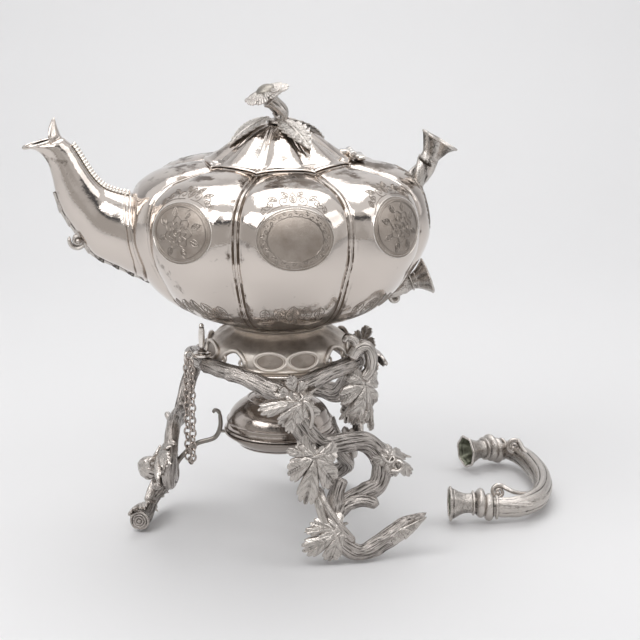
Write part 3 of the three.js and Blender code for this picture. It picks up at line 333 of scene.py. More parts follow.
def silver(name, bump=0.05, bumpDistance=0.0002, **values):
    material = bpy.data.materials.new(name)
    material.use_nodes = True
    add = nodeTree(material.node_tree)[0]
    marks = {mark: add("ShaderNodeAttribute", attribute_name=mark).outputs
             for mark in ("grain", "hollow", "edge")}
    finish = add("ShaderNodeGroup", node_tree=tarnishedSilver)
    link = material.node_tree.links.new
    link(marks["grain"]["Vector"], finish.inputs["Grain"])
    link(marks["hollow"]["Fac"], finish.inputs["Hollow"])
    link(marks["edge"]["Fac"], finish.inputs["Edge"])
    for key, value in values.items():
        finish.inputs[key.capitalize()].default_value = (*value, 1) if isinstance(value, tuple) else value
    relief = add("ShaderNodeBump",
                 {"Strength": bump, "Distance": bumpDistance, "Height": finish.outputs["Height"]})
    shader = add("ShaderNodeBsdfPrincipled", {
        "Base Color": finish.outputs["Color"], "Metallic": 1.0, "Roughness": finish.outputs["Roughness"],
        "Normal": relief.outputs["Normal"]})
    add("ShaderNodeOutputMaterial", {"Surface": shader.outputs["BSDF"]})
    material.diffuse_color = (*values["bright"], 1)
    return material


finishes = {
    "polished": silver("polishedSilver", bright=(0.655, 0.595, 0.548), tarnish=(0.11, 0.083, 0.063),
        spread=0.4, depth=1.15, blotch=0.05, smooth=0.045, rough=0.36, fine=0.16, patchy=0.8, bump=0.2,
        bumpDistance=0.001),
    "chased": silver("chasedSilver", bright=(0.78, 0.735, 0.69), tarnish=(0.12, 0.095, 0.078), spread=0.35,
        depth=1.3, blotch=0.08, smooth=0.14, rough=0.42, fine=1.1, bump=0.3, bumpDistance=0.0004),
    # a stippled ground, coloured darker as painted shade of its recess
    "stippledShaded": silver("stippledShadedSilver", bright=(0.4, 0.35, 0.31), tarnish=(0.18, 0.145, 0.115), spread=0.5,
        depth=1.0, blotch=0.07, smooth=0.34, rough=0.5, fine=2.2, bump=0.6, bumpDistance=0.0003),
    "engraved": silver("engravedLine", bright=(0.3, 0.265, 0.235), tarnish=(0.1, 0.085, 0.07), spread=0.4,
        depth=1.0, blotch=0.1, smooth=0.3, rough=0.5, fine=1.5, bump=0.2),
    "bark": silver("barkSilver", bright=(0.52, 0.48, 0.45), tarnish=(0.045, 0.037, 0.031), spread=0.25,
        depth=1.4, blotch=0.12, smooth=0.24, rough=0.55, fine=1.15, lines=0.8, bump=1.0, bumpDistance=0.0008),
    "leaf": silver("leafSilver", bright=(0.58, 0.54, 0.505), tarnish=(0.05, 0.042, 0.035), spread=0.25,
        depth=1.2, blotch=0.12, smooth=0.22, rough=0.5, fine=1.1, lines=0.5, bump=0.8, bumpDistance=0.0005),
    "gallery": silver("gallerySilver", bright=(0.88, 0.82, 0.76), tarnish=(0.24, 0.19, 0.15), spread=0.45,
        depth=1.0, blotch=0.09, smooth=0.5, rough=0.6, fine=0.6, bump=0.3, bumpDistance=0.0005),
    "finialLeaf": silver("finialLeafSilver", bright=(0.66, 0.62, 0.58), tarnish=(0.09, 0.075, 0.062),
        spread=0.3, depth=1.3, blotch=0.12, smooth=0.3, rough=0.5, fine=1.1, lines=0.5, bump=0.9,
        bumpDistance=0.0005),
    "bloom": silver("bloomSilver", bright=(0.34, 0.315, 0.28), tarnish=(0.08, 0.07, 0.055), spread=0.3,
        depth=1.2, blotch=0.12, smooth=0.26, rough=0.55, fine=1.3, lines=0.4, bump=0.6, bumpDistance=0.0004),
    "lamp": silver("lampSilver", bright=(0.46, 0.41, 0.375), tarnish=(0.1, 0.08, 0.065), spread=0.5, depth=1.2,
        blotch=0.05, smooth=0.05, rough=0.22, fine=0.5, bump=0.16, bumpDistance=0.001),
    "dark": silver("darkSilver", bright=(0.3, 0.275, 0.25), tarnish=(0.1, 0.085, 0.075), spread=0.5, depth=1.0,
        blotch=0.12, smooth=0.28, rough=0.5, fine=1.3, bump=0.3),
    # dark finish for the insides of the socket and handle mouths: painted shade
    "mouth": silver("mouthPaintedShadeSilver", bright=(0.26, 0.27, 0.21), tarnish=(0.08, 0.08, 0.06), spread=0.7,
        depth=1.0, blotch=0.14, smooth=0.35, rough=0.6, fine=1.3, bump=0.3),
}


def wickFinish():
    material = bpy.data.materials.new("wickCotton")
    material.use_nodes = True
    add = nodeTree(material.node_tree)[0]
    place = add("ShaderNodeTexCoord").outputs["Object"]
    waves = {"Vector": place, "Scale": 260.0, "Distortion": 2.0}
    plait = add("ShaderNodeTexWave", waves, bands_direction="DIAGONAL").outputs[1]
    cottons = {0: plait, 6: (0.62, 0.57, 0.47, 1), 7: (0.86, 0.83, 0.75, 1)}
    colour = add("ShaderNodeMix", cottons, data_type="RGBA").outputs[2]
    relief = add("ShaderNodeBump", {"Strength": 0.6, "Distance": 0.0005, "Height": plait}).outputs[0]
    shader = add("ShaderNodeBsdfPrincipled", {"Base Color": colour, "Roughness": 0.9, "Normal": relief})
    add("ShaderNodeOutputMaterial", {"Surface": shader.outputs[0]})
    return material


print("finishes made")


# Kettle body: eight lobes with ribbed seams

seatHeight = 132.0
gallerySizes = {
    "height": 28, "rimRadius": 54.5, "collarRadius": 34, "wall": 1.6, "band": 3.2, "archCount": 4,
    "archWidth": 23, "archHeight": 13.5, "archRod": 1.9, "curl": 3.4, "curlIn": 2.6, "curlUp": 5.8,
    "curlRod": 1.15, "ovalLength": 24, "ovalHeight": 13, "ovalUp": 8.6, "ovalGap": 0.3, "ovalIn": 1.6,
    "ovalBend": 1.3,
}
bodyBase = seatHeight + gallerySizes["height"]
bodySizes = {
    "radius": 113.5, "height": 121, "neckRadius": 48.5, "rimRadius": 53, "footRadius": 27, "wall": 1.2,
    "floor": 2, "lobes": 8, "lobeDepth": 9.6, "neckDrop": 2.6, "ribHeight": 1.5, "ribWidth": 1.05,
    "grooveAt": 2.3, "grooveWidth": 0.7, "grooveShare": 0.4, "medallionAt": 0.7, "medallionWidth": 28.0,
    "medallionHeight": 22.5, "recess": 0.6,
}
bodyShares = [[0.264, 0], [0.45, 0.035], [0.67, 0.115], [0.81, 0.215], [0.925, 0.36], [0.99, 0.5],
              [1, 0.6], [0.985, 0.72], [0.925, 0.84], [0.8, 0.925], [0.63, 0.97], [0.48, 0.992]]
profile = flatCurve([[r * bodySizes["radius"], bodyBase + z * bodySizes["height"]] for r, z in bodyShares], 400)
profileArc = arcLengths(profile)
medallionArc = np.interp(bodyBase + bodySizes["medallionAt"] * bodySizes["height"], profile[:, 1], profileArc)


def lobeLocal(angle):
    turnShare = angle / fullTurn * bodySizes["lobes"] + 0.5
    return (turnShare % 1 - 0.5) * 2


# A raised rib with a groove on each side, by the distance from its middle
def ribAt(away, height, width, grooveAt, grooveWidth, grooveShare):
    return height * (np.exp(-(away / width) ** 4)
                     - grooveShare * np.exp(-((away - grooveAt) / grooveWidth) ** 2))


# The body's skin at an angle from +X and a distance along the profile from the medallions' height
def bodyPoint(angle, v, proud=0.0, medallions=True):
    b = bodySizes
    angle, v = np.broadcast_arrays(np.asarray(angle, float), np.asarray(v, float))
    arc = np.clip(v + medallionArc, 0, profileArc[-1])
    radius = np.interp(arc, profileArc, profile[:, 0])
    height = np.interp(arc, profileArc, profile[:, 1])
    after, before = np.clip(arc + 0.5, 0, profileArc[-1]), np.clip(arc - 0.5, 0, profileArc[-1])
    ahead = unit(np.stack([np.interp(after, profileArc, column) - np.interp(before, profileArc, column)
                           for column in profile.T], -1))
    out, up = ahead[..., 1], -ahead[..., 0]
    s = np.abs(lobeLocal(angle))
    share = smoothstep((height - bodyBase) / b["height"], 0.02, 0.4)
    near = smoothstep((bodyBase + b["height"] - height) / b["height"], 0, 0.5)
    depth = b["lobeDepth"] * share * (0.5 + 0.5 * near) * (0.72 * s ** 2.2 + 0.28 * s ** 6)
    fromSeam = (1 - s) * radius * math.pi / b["lobes"]
    rib = ribAt(fromSeam, b["ribHeight"], b["ribWidth"], b["grooveAt"], b["grooveWidth"], b["grooveShare"])
    rib = rib * np.maximum(share, 0.25)
    u = s * math.pi / b["lobes"] * b["radius"]
    oval = np.sqrt((u / b["medallionWidth"]) ** 2 + (v / b["medallionHeight"]) ** 2)
    sink = b["recess"] * (1 - smoothstep(oval, 0.88, 1.04)) if medallions else 0
    move = proud - depth + rib - sink
    return aroundAxis(radius + move * out, angle, height + move * up)


# How far the neck and the lid's rim dip at the seams
def neckDrop(angle):
    return bodySizes["neckDrop"] * np.abs(lobeLocal(angle)) ** 2.4


# Angles round the lobes, with more of them near the seams
def lobeAngles(seamFrom, seamSteps, middleSteps):
    s = np.concatenate([np.linspace(-1, -seamFrom, seamSteps)[:-1],
                        np.linspace(-seamFrom, seamFrom, middleSteps),
                        np.linspace(seamFrom, 1, seamSteps)[1:-1]])
    return np.concatenate([(k + s / 2) / bodySizes["lobes"] * fullTurn for k in range(bodySizes["lobes"])])


def kettleBody():
    b = bodySizes
    angles = lobeAngles(0.87, 19, 43)
    v = np.linspace(-medallionArc, profileArc[-1] - medallionArc, 150)
    outer = bodyPoint(angles[None, :], v[:, None])
    inner = bodyPoint(angles[None, :], v[::-3][:, None], proud=-b["wall"] * 1.6, medallions=False)[1:]
    top = bodyBase + b["height"] - neckDrop(angles)
    rim = [aroundAxis(r, angles, top - down) for r, down in (
        (b["rimRadius"] + 1.6, 1.2), (b["rimRadius"] + 1.5, 0.3), (b["rimRadius"], 0), (b["neckRadius"], 0),
        (b["neckRadius"], 2))]
    base = [aroundAxis(r, angles, bodyBase + z) for r, z in ((0.5, 0), (b["footRadius"], 0), (0.5, b["floor"]))]
    return surface(np.concatenate([base[:2], outer, rim, inner, base[2:]]))


# Lines chased into the body. Paths are in millimetres across and up from a medallion's middle.

def onBody(lobe, path, proud=0.0):
    path = np.asarray(path, float)
    angle = lobe / bodySizes["lobes"] * fullTurn + path[:, 0] / bodySizes["radius"]
    return bodyPoint(angle, path[:, 1], proud)


def ribbon(points, normals, width, height):
    ahead = unit(np.gradient(points, axis=0))
    side = unit(np.cross(ahead, normals))
    rows = np.stack([points - side * width / 2 - normals * 0.1, points - side * width / 4 + normals * height,
                     points + side * width / 4 + normals * height,
                     points + side * width / 2 - normals * 0.1], axis=1)
    return surface(rows, around=False)


# One chased line on a lobe, as a fine raised ribbon
def chased(lobe, path, width=0.7, height=0.16, proud=0.0):
    p = flatCurve(path, max(8, len(path) * 3)) if len(path) < 24 else np.asarray(path, float)
    points = onBody(lobe, p, proud)
    acrossStep, upStep = onBody(lobe, p + [0.4, 0]) - points, onBody(lobe, p + [0, 0.4]) - points
    return ribbon(points, unit(np.cross(acrossStep, upStep)), width, height)


def ovalPath(a, b, count=72, wave=0.0, waves=0):
    t = np.linspace(0, fullTurn, count)
    r = 1 + wave * np.cos(waves * t)
    return np.c_[a * r * np.cos(t), b * r * np.sin(t)]


def curlPath(at, radius, turns=1.2, start=0.0, sense=1):
    x, y, _ = coil(radius, sense * turns, start, 22, 0.85)
    return np.c_[at[0] + x, at[1] + y]


# A leaf's two edges, its middle line and its veins, from a place and a heading
def leafPaths(at, length, width, heading, veins=3):
    t = np.linspace(0, 1, 12)
    half = width / 2 * np.sin(np.pi * t ** 0.8)
    paths = [(length * t, half), (length * t, -half), (length * t[:9], 0 * t[:9])]
    for k in range(veins):
        x = length * (0.2 + 0.5 * k / veins)
        h = width * 0.32 * math.sin(math.pi * (0.3 + 0.45 * k / veins))
        paths += [(np.array([x, x + h]), np.array([0, side * h])) for side in (1, -1)]
    c, s = math.cos(heading), math.sin(heading)
    return [np.c_[at[0] + x * c - y * s, at[1] + x * s + y * c] for x, y in paths]


def flowerPaths(radius, petals, rings=2):
    paths = []
    for ring in range(rings):
        r = radius * (1 - 0.36 * ring)
        paths.append(ovalPath(r, r * 0.93, petals * 10 + 1, wave=0.13, waves=petals))
        for k in range(petals):
            a = (k + 0.5 * ring + 0.5) / petals * fullTurn
            reach = r * np.array([0.5, 0.86])
            paths.append(np.c_[np.cos(a) * reach, 0.93 * np.sin(a) * reach])
    return paths + [ovalPath(radius * 0.3, radius * 0.28, 20), curlPath((0, 0), radius * 0.22, 1.4)]


medallionKinds = ["plain", "flower", "wreath", "flower", "plain", "flower", "wreath", "flower"]


def medallionLines(kind):
    a, b = bodySizes["medallionWidth"], bodySizes["medallionHeight"]
    if kind == "flower":
        paths = flowerPaths(b * 0.5, 7) + [ovalPath(a * 0.84, b * 0.84)]
        for t in (np.arange(8) + 0.5) / 8 * fullTurn:
            paths += leafPaths((a * 0.46 * math.cos(t), b * 0.52 * math.sin(t)), 7.5, 4.4, t, 2)
        return paths
    leafLength = 3.4 if kind == "wreath" else 2.2
    paths = [ovalPath(a * 0.72, b * 0.72, wave=0.012, waves=24)]
    for k, t in enumerate(turnAngles(34)):
        at = (a * 0.82 * math.cos(t), b * 0.82 * math.sin(t))
        paths += leafPaths(at, leafLength, 1.7, t + math.pi / 2 + (0.7 if k % 2 else -0.7), 0)[:2]
    return paths


quarter = math.pi / 2
chasing = {  # across and up from the top or the foot of a medallion, for one side
    "curls": [(7.5, 6.6, 4.6, 1.25, -quarter, 1), (18, 3.5, 3.6, 1.1, quarter, -1),
              (21, 1, 3.2, 1.2, quarter, 1)],
    "stem": [[3, 3], [8, 2.2], [14, 0.6], [20, -3.6], [24.5, -10]],
    "leaves": [(4, 10.5, 8, 4.2, 0.75, 2), (13, 7, 8.5, 4.2, 1.15, 2), (23, -5, 6.5, 3.2, 0.25, 1)],
    "crown": (4.4, 11, 6, 3),  # up, length, width and veins of the middle leaf
    "lowLeaves": [(9, -4, 19, 10, 0.35, 3), (23, -7, 17, 9, 0.2, 3)],
    "lowMiddle": (-2, 26, 12, 5),
    "lowFrom": 30,  # from the medallion's foot down to the lower leaves
}


def borderLines():
    top = bodySizes["medallionHeight"]
    low = -top - chasing["lowFrom"]
    paths = []
    for side in (1, -1):
        for across, up, radius, turns, start, sense in chasing["curls"]:
            paths.append(curlPath((side * across, top + up), radius, turns, start, side * sense))
        paths.append(np.array([[side * across, top + up] for across, up in chasing["stem"]]))
        for across, up, length, width, lean, veins in chasing["leaves"]:
            paths += leafPaths((side * across, top + up), length, width, quarter - side * lean, veins)
        for across, up, length, width, lean, veins in chasing["lowLeaves"]:
            paths += leafPaths((side * across, low + up), length, width, side * lean - quarter, veins)
    up, length, width, veins = chasing["crown"]
    paths += leafPaths((0, top + up), length, width, quarter, veins)
    up, length, width, veins = chasing["lowMiddle"]
    return paths + leafPaths((0, low + up), length, width, -quarter, veins)


def lobeLines(lobe):
    medallion = [chased(lobe, p, 0.8, 0.22, 0.2) for p in medallionLines(medallionKinds[lobe])]
    return medallion + [chased(lobe, p, 0.75, 0.3) for p in borderLines()]


def medallionRims(lobe):
    a, b = bodySizes["medallionWidth"], bodySizes["medallionHeight"]
    return [chased(lobe, ovalPath(a * grow, b * grow, 97), width, height)
            for grow, width, height in ((1.0, 0.9, 0.3), (0.93, 0.45, 0.26))]


# The medallion's ground, coloured darker as painted shade of its recess
def medallionGround(lobe):
    t = turnAngles(96)
    oval = np.c_[bodySizes["medallionWidth"] * np.cos(t), bodySizes["medallionHeight"] * np.sin(t)]
    return surface(np.array([onBody(lobe, share * oval, 0.12) for share in np.linspace(0.98, 0.01, 26)]))


# Painted shade on the lower body, darkest at the bottom, and a little tarnish all over; darker also round the
# neck and along the seams, most strongly low down
def bodyShadeAndTarnish(points):
    z = (points[:, 2] - bodyBase) / bodySizes["height"]
    s = np.abs(lobeLocal(np.arctan2(points[:, 1], points[:, 0])))
    fromSeam = (1 - s) * np.hypot(points[:, 0], points[:, 1]) * math.pi / bodySizes["lobes"]
    seam = np.exp(-(fromSeam / 7) ** 2) * (0.02 + 0.3 * (1 - smoothstep(z, 0.2, 0.5)))
    return 0.78 * (1 - smoothstep(z, 0.08, 0.42)) + 0.12 + seam + 0.38 * smoothstep(z, 0.78, 0.95)


socketLobe, spoutLobe = 0, 4
plainLobes = [lobe for lobe in range(bodySizes["lobes"]) if lobe not in (socketLobe, spoutLobe)]
chasedLobes = [lobe for lobe in range(bodySizes["lobes"]) if lobe != spoutLobe]
addPiece("kettleShell", [kettleBody()], finishes["polished"], "kettle", ["kettle_body"],
         sharp=60, depth=0.2, shadeAndTarnish=bodyShadeAndTarnish)
addPiece("medallionGrounds", [medallionGround(lobe) for lobe in plainLobes], finishes["stippledShaded"], "kettle")
addPiece("medallionBorders", [p for lobe in plainLobes for p in medallionRims(lobe)], finishes["chased"],
         "kettle")
addPiece("bodyChasing", [p for lobe in chasedLobes for p in lobeLines(lobe)], finishes["engraved"], "kettle")
print("body made")


# Spout

spoutSizes = {
    "reach": 184.3, "rise": 132.7, "wall": 1.6, "halfWidth": 40, "lipRadius": 1.2, "bandRadius": 1.5,
    "hoodLength": 19, "hoodWidth": 17, "hoodThickness": 1.6, "hoodCurl": 0.3, "hoodCup": 0.85,
    "hoodSunk": 3.6, "hoodAtShare": 0.846, "hoodUpShare": 1.055, "hoodWireAt": 8.4, "hoodWire": 0.9,
    "crestWidth": 5.2, "crestHeight": 1.5, "bead": 1.75, "sideBead": 0.95, "sideBeadOut": 2.1,
    "keelWidth": 5.0, "keelHeight": 1.7, "scroll": 6.6, "scrollRod": 1.5, "scrollOut": 2.6, "scrollSide": 2.2,
}
spoutShares = [
    [0.42, 0.7, 0.27, 0.09, 1], [0.526, 0.716, 0.412, 0.185, 0.9], [0.6, 0.731, 0.543, 0.258, 0.7],
    [0.651, 0.75, 0.651, 0.335, 0.54], [0.692, 0.776, 0.743, 0.407, 0.45], [0.73, 0.829, 0.808, 0.539, 0.39],
    [0.762, 0.897, 0.857, 0.648, 0.335], [0.789, 0.965, 0.882, 0.754, 0.305], [0.81, 1.01, 0.894, 0.844, 0.285],
    [0.826, 1.03, 0.912, 0.927, 0.27], [0.842, 1.05, 0.948, 0.984, 0.26], [0.856, 1.055, 1, 1.002, 0.2],
]


# Rings of the spout, pear-shaped and square to it, from its root to its lip
def spoutRows(count, sides, shrink=0.0):
    shares = np.array(spoutShares)
    t = np.linspace(0, len(shares) - 1, count)
    i = np.clip(t.astype(int), 0, len(shares) - 2)
    q = hermite(shares, np.gradient(shares, axis=0), i, (t - i)[:, None])
    top, low = [np.stack([-spoutSizes["reach"] * q[:, k], 0 * t, bodyBase + spoutSizes["rise"] * q[:, k + 1]],
                         -1)
                for k in (0, 2)]
    up = unit(top - low)
    length = np.linalg.norm(top - low, axis=1) / 2 - shrink
    half = spoutSizes["halfWidth"] * q[:, 4] - shrink
    a = turnAngles(sides)
    rows = (top + low)[:, None] / 2 + up[:, None] * (length[:, None] * np.cos(a))[..., None]
    rows[..., 1] += half[:, None] / (1 + 0.12 * np.cos(a)) * np.sin(a)
    return rows


# The body's radius at an angle and a height, with its lobes
def bodyRadiusAt(angle, z):
    fine = np.linspace(-medallionArc, profileArc[-1] - medallionArc, 220)
    height = np.interp(fine + medallionArc, profileArc, profile[:, 1])
    p = bodyPoint(angle, np.interp(z, height, fine), medallions=False)
    return np.hypot(p[..., 0], p[..., 1])


# The spout's rings, with each column cut off where it enters the body
def spoutFromBody(count=110, sides=72, shrink=0.0, sink=0.6):
    rows = spoutRows(260, sides, shrink)
    angle = np.arctan2(rows[..., 1], rows[..., 0]) % fullTurn
    z = np.clip(rows[..., 2], bodyBase + 1, bodyBase + bodySizes["height"] - 2)
    inside = np.hypot(rows[..., 0], rows[..., 1]) <= bodyRadiusAt(angle, z) - sink
    start = np.array([len(rows) - 1 - np.argmax(inside[::-1, c]) if inside[:, c].any() else 0
                      for c in range(sides)])
    start = (np.roll(start, 1) + 2 * start + np.roll(start, -1)) / 4
    at = start + np.linspace(0, 1, count)[:, None] * (len(rows) - 1 - start)
    low = np.clip(at.astype(int), 0, len(rows) - 2)
    part = (at - low)[..., None]
    column = np.arange(sides)[None, :]
    return rows[low, column] * (1 - part) + rows[low + 1, column] * part


def closedTube(points, radius, sides=10):
    ahead = unit(np.roll(points, -1, axis=0) - np.roll(points, 1, axis=0))
    out = points - points.mean(axis=0)
    out = unit(out - ahead * (out * ahead).sum(1, keepdims=True))
    up = np.cross(ahead, out)
    a = turnAngles(sides)[:, None]
    rows = points[:, None] + radius * (out[:, None] * np.cos(a) + up[:, None] * np.sin(a))
    return surface(np.concatenate([rows, rows[:1]]))


# A pointed leaf that grows along +X and faces +Z, with veins and a toothed edge
def leafSheet(length, width, thickness, curl=0.6, cup=0.25, teeth=4, notch=0.16, start=0.16, rows=36, half=10,
              ridge=0.5):
    s = np.linspace(0, 1, rows)[:, None]
    v = np.abs(np.linspace(-1, 1, 2 * half + 1))[None, :]
    saw = (s * teeth) % 1
    taper = np.maximum(np.sin(np.pi * s ** 0.72), np.where(s < 0.1, start, 0.02))
    w = width / 2 * taper * (1 - notch * saw)
    bend = curl * s + 1e-6
    x = length * np.sin(bend) / (curl + 1e-6) + 0 * v
    drop = length * (1 - np.cos(bend)) / (curl + 1e-6)
    y = np.linspace(-1, 1, 2 * half + 1) * w
    side = np.abs(np.sin((s * teeth - v * 0.7) * np.pi))
    vein = 0.8 * np.exp(-(y / 0.8) ** 2) + 0.55 * (1 - side) ** 2 * np.minimum(1, v * 3)
    sheet = -drop - cup * w * v * v
    x = x + 0.12 * length / teeth * (saw > 0.6) * v ** 3 * notch * 4
    top = np.stack([x, y, sheet + ridge * vein + thickness / 3], -1)
    low = np.stack([x, y, sheet - thickness * 0.4], -1)[:, ::-1]
    return surface(np.concatenate([top, low], axis=1), caps=(True, True))


vineLobes = np.array([  # [direction, length, half width] of each lobe, as shares
    [0, 1, 0.5], [0.98, 0.86, 0.48], [-0.98, 0.84, 0.48], [1.94, 0.66, 0.5], [-1.94, 0.68, 0.5],
])


# A vine leaf that grows along +X from its stalk and faces +Z: five toothed lobes with a vein to each tip
def grapeLeaf(length, width, droop=0.3, fold=0.0, thickness=1.5, ridge=0.9):
    sides = 190
    a = turnAngles(sides) - math.pi
    turned = (a[:, None] - vineLobes[:, 0] + math.pi) % fullTurn - math.pi
    away = np.minimum(np.abs(turned) / vineLobes[:, 2], 1.35)
    reach = vineLobes[:, 1] * (1 - 0.14 * away ** 2 - 0.36 * away ** 7)
    own = reach.argmax(axis=1)
    near, signed = away[np.arange(sides), own], turned[np.arange(sides), own]
    # the gap at the stalk, then the teeth
    edge = np.maximum(reach.max(axis=1), 0.3) * (1 - 0.45 * np.exp(-((math.pi - np.abs(a)) / 0.3) ** 2))
    edge = edge * (1 - 0.1 * (1 - np.abs(np.cos(near * 2.5 * math.pi))) ** 1.6)
    share = np.linspace(0.03, 1, 24)[:, None]
    r = share * edge
    x, y = r * np.cos(a) * length, r * np.sin(a) * width / 1.38
    along, across = r * np.cos(signed) * length, r * np.abs(np.sin(signed)) * length
    main = np.exp(-(across / (0.45 + 0.5 * (1 - share))) ** 2)
    side = np.abs(np.sin((along - 0.9 * across) / 5.5 * math.pi))
    veins = main + 0.3 * (1 - side) ** 3 * smoothstep(across, 0.6, 1.8)
    puff = 0.11 * length * r * np.sin(math.pi * np.clip(near, 0, 1)) ** 0.7
    z = veins * ridge * smoothstep(share, 0.03, 0.25) * (1 - 0.5 * smoothstep(share, 0.85, 1)) + puff
    z = z - droop * length * r ** 2.4 - fold * np.abs(y) + 0.04 * length * share ** 3 * np.sin(5 * a + 1)
    grain = np.stack([(along - 0.9 * across) * 0.8, across * 0.12, 4.0 * own + 0 * r], -1)
    top = np.stack([x, y, z + thickness / 2], -1)
    low = np.stack([x, y, z - 0.6 * ridge * veins - thickness / 2], -1)[::-1]
    return surface(np.concatenate([top, low]), grain=np.concatenate([grain, grain[::-1]]))


def leafFrom(base, tip, width, face, **shape):
    grow = np.array(tip, float) - np.array(base, float)
    return placedAs(grapeLeaf(float(np.linalg.norm(grow)), width, **shape), base, grow, face)


# The pointed hood over the lip, and a thin wire along its two edges
def spoutHood():
    z = spoutSizes
    length, curl, cup = z["hoodLength"], z["hoodCurl"], z["hoodCup"]
    place = [-z["reach"] * z["hoodAtShare"], 0, bodyBase + z["rise"] * z["hoodUpShare"] - z["hoodSunk"]]
    grow, face = [-0.5, 0, 1], [-1, 0, -0.5]
    leaf = leafSheet(length, z["hoodWidth"], z["hoodThickness"], curl, -cup, teeth=1, notch=0, start=0.75,
                     ridge=0.2)
    edge = np.linspace(0, 1, 26)
    half = z["hoodWireAt"] * np.maximum(np.sin(np.pi * edge ** 0.72), 0.75 * (edge < 0.1))
    x, drop = length * np.sin(curl * edge) / curl, length * (1 - np.cos(curl * edge)) / curl
    wires = [rod(np.c_[x, side * half, cup * half - drop, z["hoodWire"] + 0 * edge], sides=10, steps=30)
             for side in (1, -1)]
    return [placedAs(part, place, grow, face) for part in (leaf, *wires)]


def spoutPiece():
    outer = spoutFromBody()
    inner = spoutFromBody(count=60, shrink=spoutSizes["wall"], sink=-1.0)[::-1]
    return [surface(np.concatenate([outer, inner])), closedTube(outer[-1], spoutSizes["lipRadius"]),
            closedTube(outer[1], spoutSizes["bandRadius"]),
            closedTube(outer[5] * np.array([1, 1.015, 1]), spoutSizes["bandRadius"] * 0.6), *spoutHood()]


# Points along the spout's top (0) or bottom (2) edge, lifted off it, with their outward directions
def spoutLine(column, first, last, lift, count):
    rows = np.array(spoutShares)[first:last + 1]
    line = flatCurve(np.c_[-spoutSizes["reach"] * rows[:, column],
                           bodyBase + spoutSizes["rise"] * rows[:, column + 1]],
                     count)
    ahead = unit(np.gradient(line, axis=0))
    normal = np.c_[ahead[:, 1], -ahead[:, 0]] * (1 if column == 0 else -1)
    line = line + normal * lift
    return [np.c_[p[:, 0], np.zeros(len(p)), p[:, 1]] for p in (line, normal)]


def crestPieces():
    z = spoutSizes
    parts = [ribbon(*spoutLine(0, 2, 8, 0.3, 60), z["crestWidth"], z["crestHeight"])]
    for k, (at, up) in enumerate(zip(*spoutLine(0, 2, 8, 1.9, 22))):
        parts.append(ball(z["bead"] - 0.012 * k, at, 12))  # a little smaller towards the lip
        for side in (1, -1):
            parts.append(ball(z["sideBead"], at - up * 1.1 + [0, side * z["sideBeadOut"], 0], 8))
    return parts


def keelPieces():
    z = spoutSizes
    points, up = spoutLine(2, 1, 7, 0.3, 40)
    parts = [ribbon(points, up, z["keelWidth"], z["keelHeight"])]
    blade = leafSheet(12.5, 6.4, 0.9, curl=0.9, cup=0.5, teeth=3, notch=0.28, rows=22, half=5)
    for k in range(3, len(points) - 5, 4):
        ahead = unit(points[k + 1] - points[k])
        for side in (1, -1):
            parts.append(placedAs(blade, points[k] + up[k] * 1.6 + [0, side * 0.4, 0],
                                  ahead + [0, side * 0.6, 0], up[k] + [0, side * 0.75, 0]))
    middle = 27
    along, aim = unit(points[middle + 1] - points[middle - 1]), up[middle]
    at = points[middle] + aim * z["scrollOut"]
    x, y, t = coil(z["scroll"], 1.7, 0.6, shrink=0.86)
    for side in (1, -1):
        path = at + np.outer(x, along) + np.outer(y, aim) + [0, side * z["scrollSide"], 0]
        parts.append(rod(np.c_[path, z["scrollRod"] - 0.5 * t], sides=10, steps=60))
        parts.append(ball(2.0, at + [0, side * 3.0, 0]))
    return parts


addPiece("spoutShell", spoutPiece(), finishes["polished"], "kettle", ["spout"], sharp=60)
addPiece("spoutRope", crestPieces(), finishes["chased"], "kettle", ["spout_crest"])
addPiece("spoutScroll", keelPieces(), finishes["leaf"], "kettle", ["spout_keel"])
print("spout made")


# Gallery foot: a pierced skirt with paired ovals and scrolled arches

galleryShares = [[1, 0], [0.985, 0.1], [0.97, 0.2], [0.86, 0.44], [0.5, 0.62], [0.16, 0.76], [0, 0.84]]
collarLine = [[34, -4.6], [36.4, -4.2], [37.4, -3.2], [36.4, -2.2], [35, -1.8], [36, -1.0], [34.6, -0.3],
              [27, -0.3],
              [27, -2], [32, -3]]  # radius, and height from the body's underside
rimBand = [[-2.6, 0], [0.2, 0], [0.9, 0.9], [0.4, 2], [-0.9, 2.6], [-2.6, 2.4]]  # out from the rim, and up


def galleryLine(count=70):
    low, high = gallerySizes["collarRadius"], gallerySizes["rimRadius"]
    return flatCurve([[low + (high - low) * r, seatHeight + z * gallerySizes["height"]] for r,
                      z in galleryShares],
                     count)


def archHeightAt(u):
    g = gallerySizes
    share = np.clip(1 - (2 * u / g["archWidth"]) ** 2, 0, 1)
    return g["band"] + (g["archHeight"] - g["band"]) * share ** 0.55


def gallerySkin(line, centres):
    g = gallerySizes
    a = turnAngles(480)
    away = np.min(np.abs((a[:, None] - centres + math.pi) % fullTurn - math.pi), axis=1)
    u, z = away * g["rimRadius"], line[:, 1:] - seatHeight
    closed = ~((u < g["archWidth"] / 2) & (z[:-1] > g["band"]) & (z[:-1] < archHeightAt(u)))
    flutes = 0.5 * np.cos(16 * a) * smoothstep(z, 13, 17) * (1 - smoothstep(z, 21, 23.5))
    radius = line[:, :1] + flutes
    return [surface(aroundAxis(radius, a, line[:, 1:]), keep=closed),
            surface(aroundAxis(radius - g["wall"], a, line[:, 1:] - 0.4), keep=closed)]


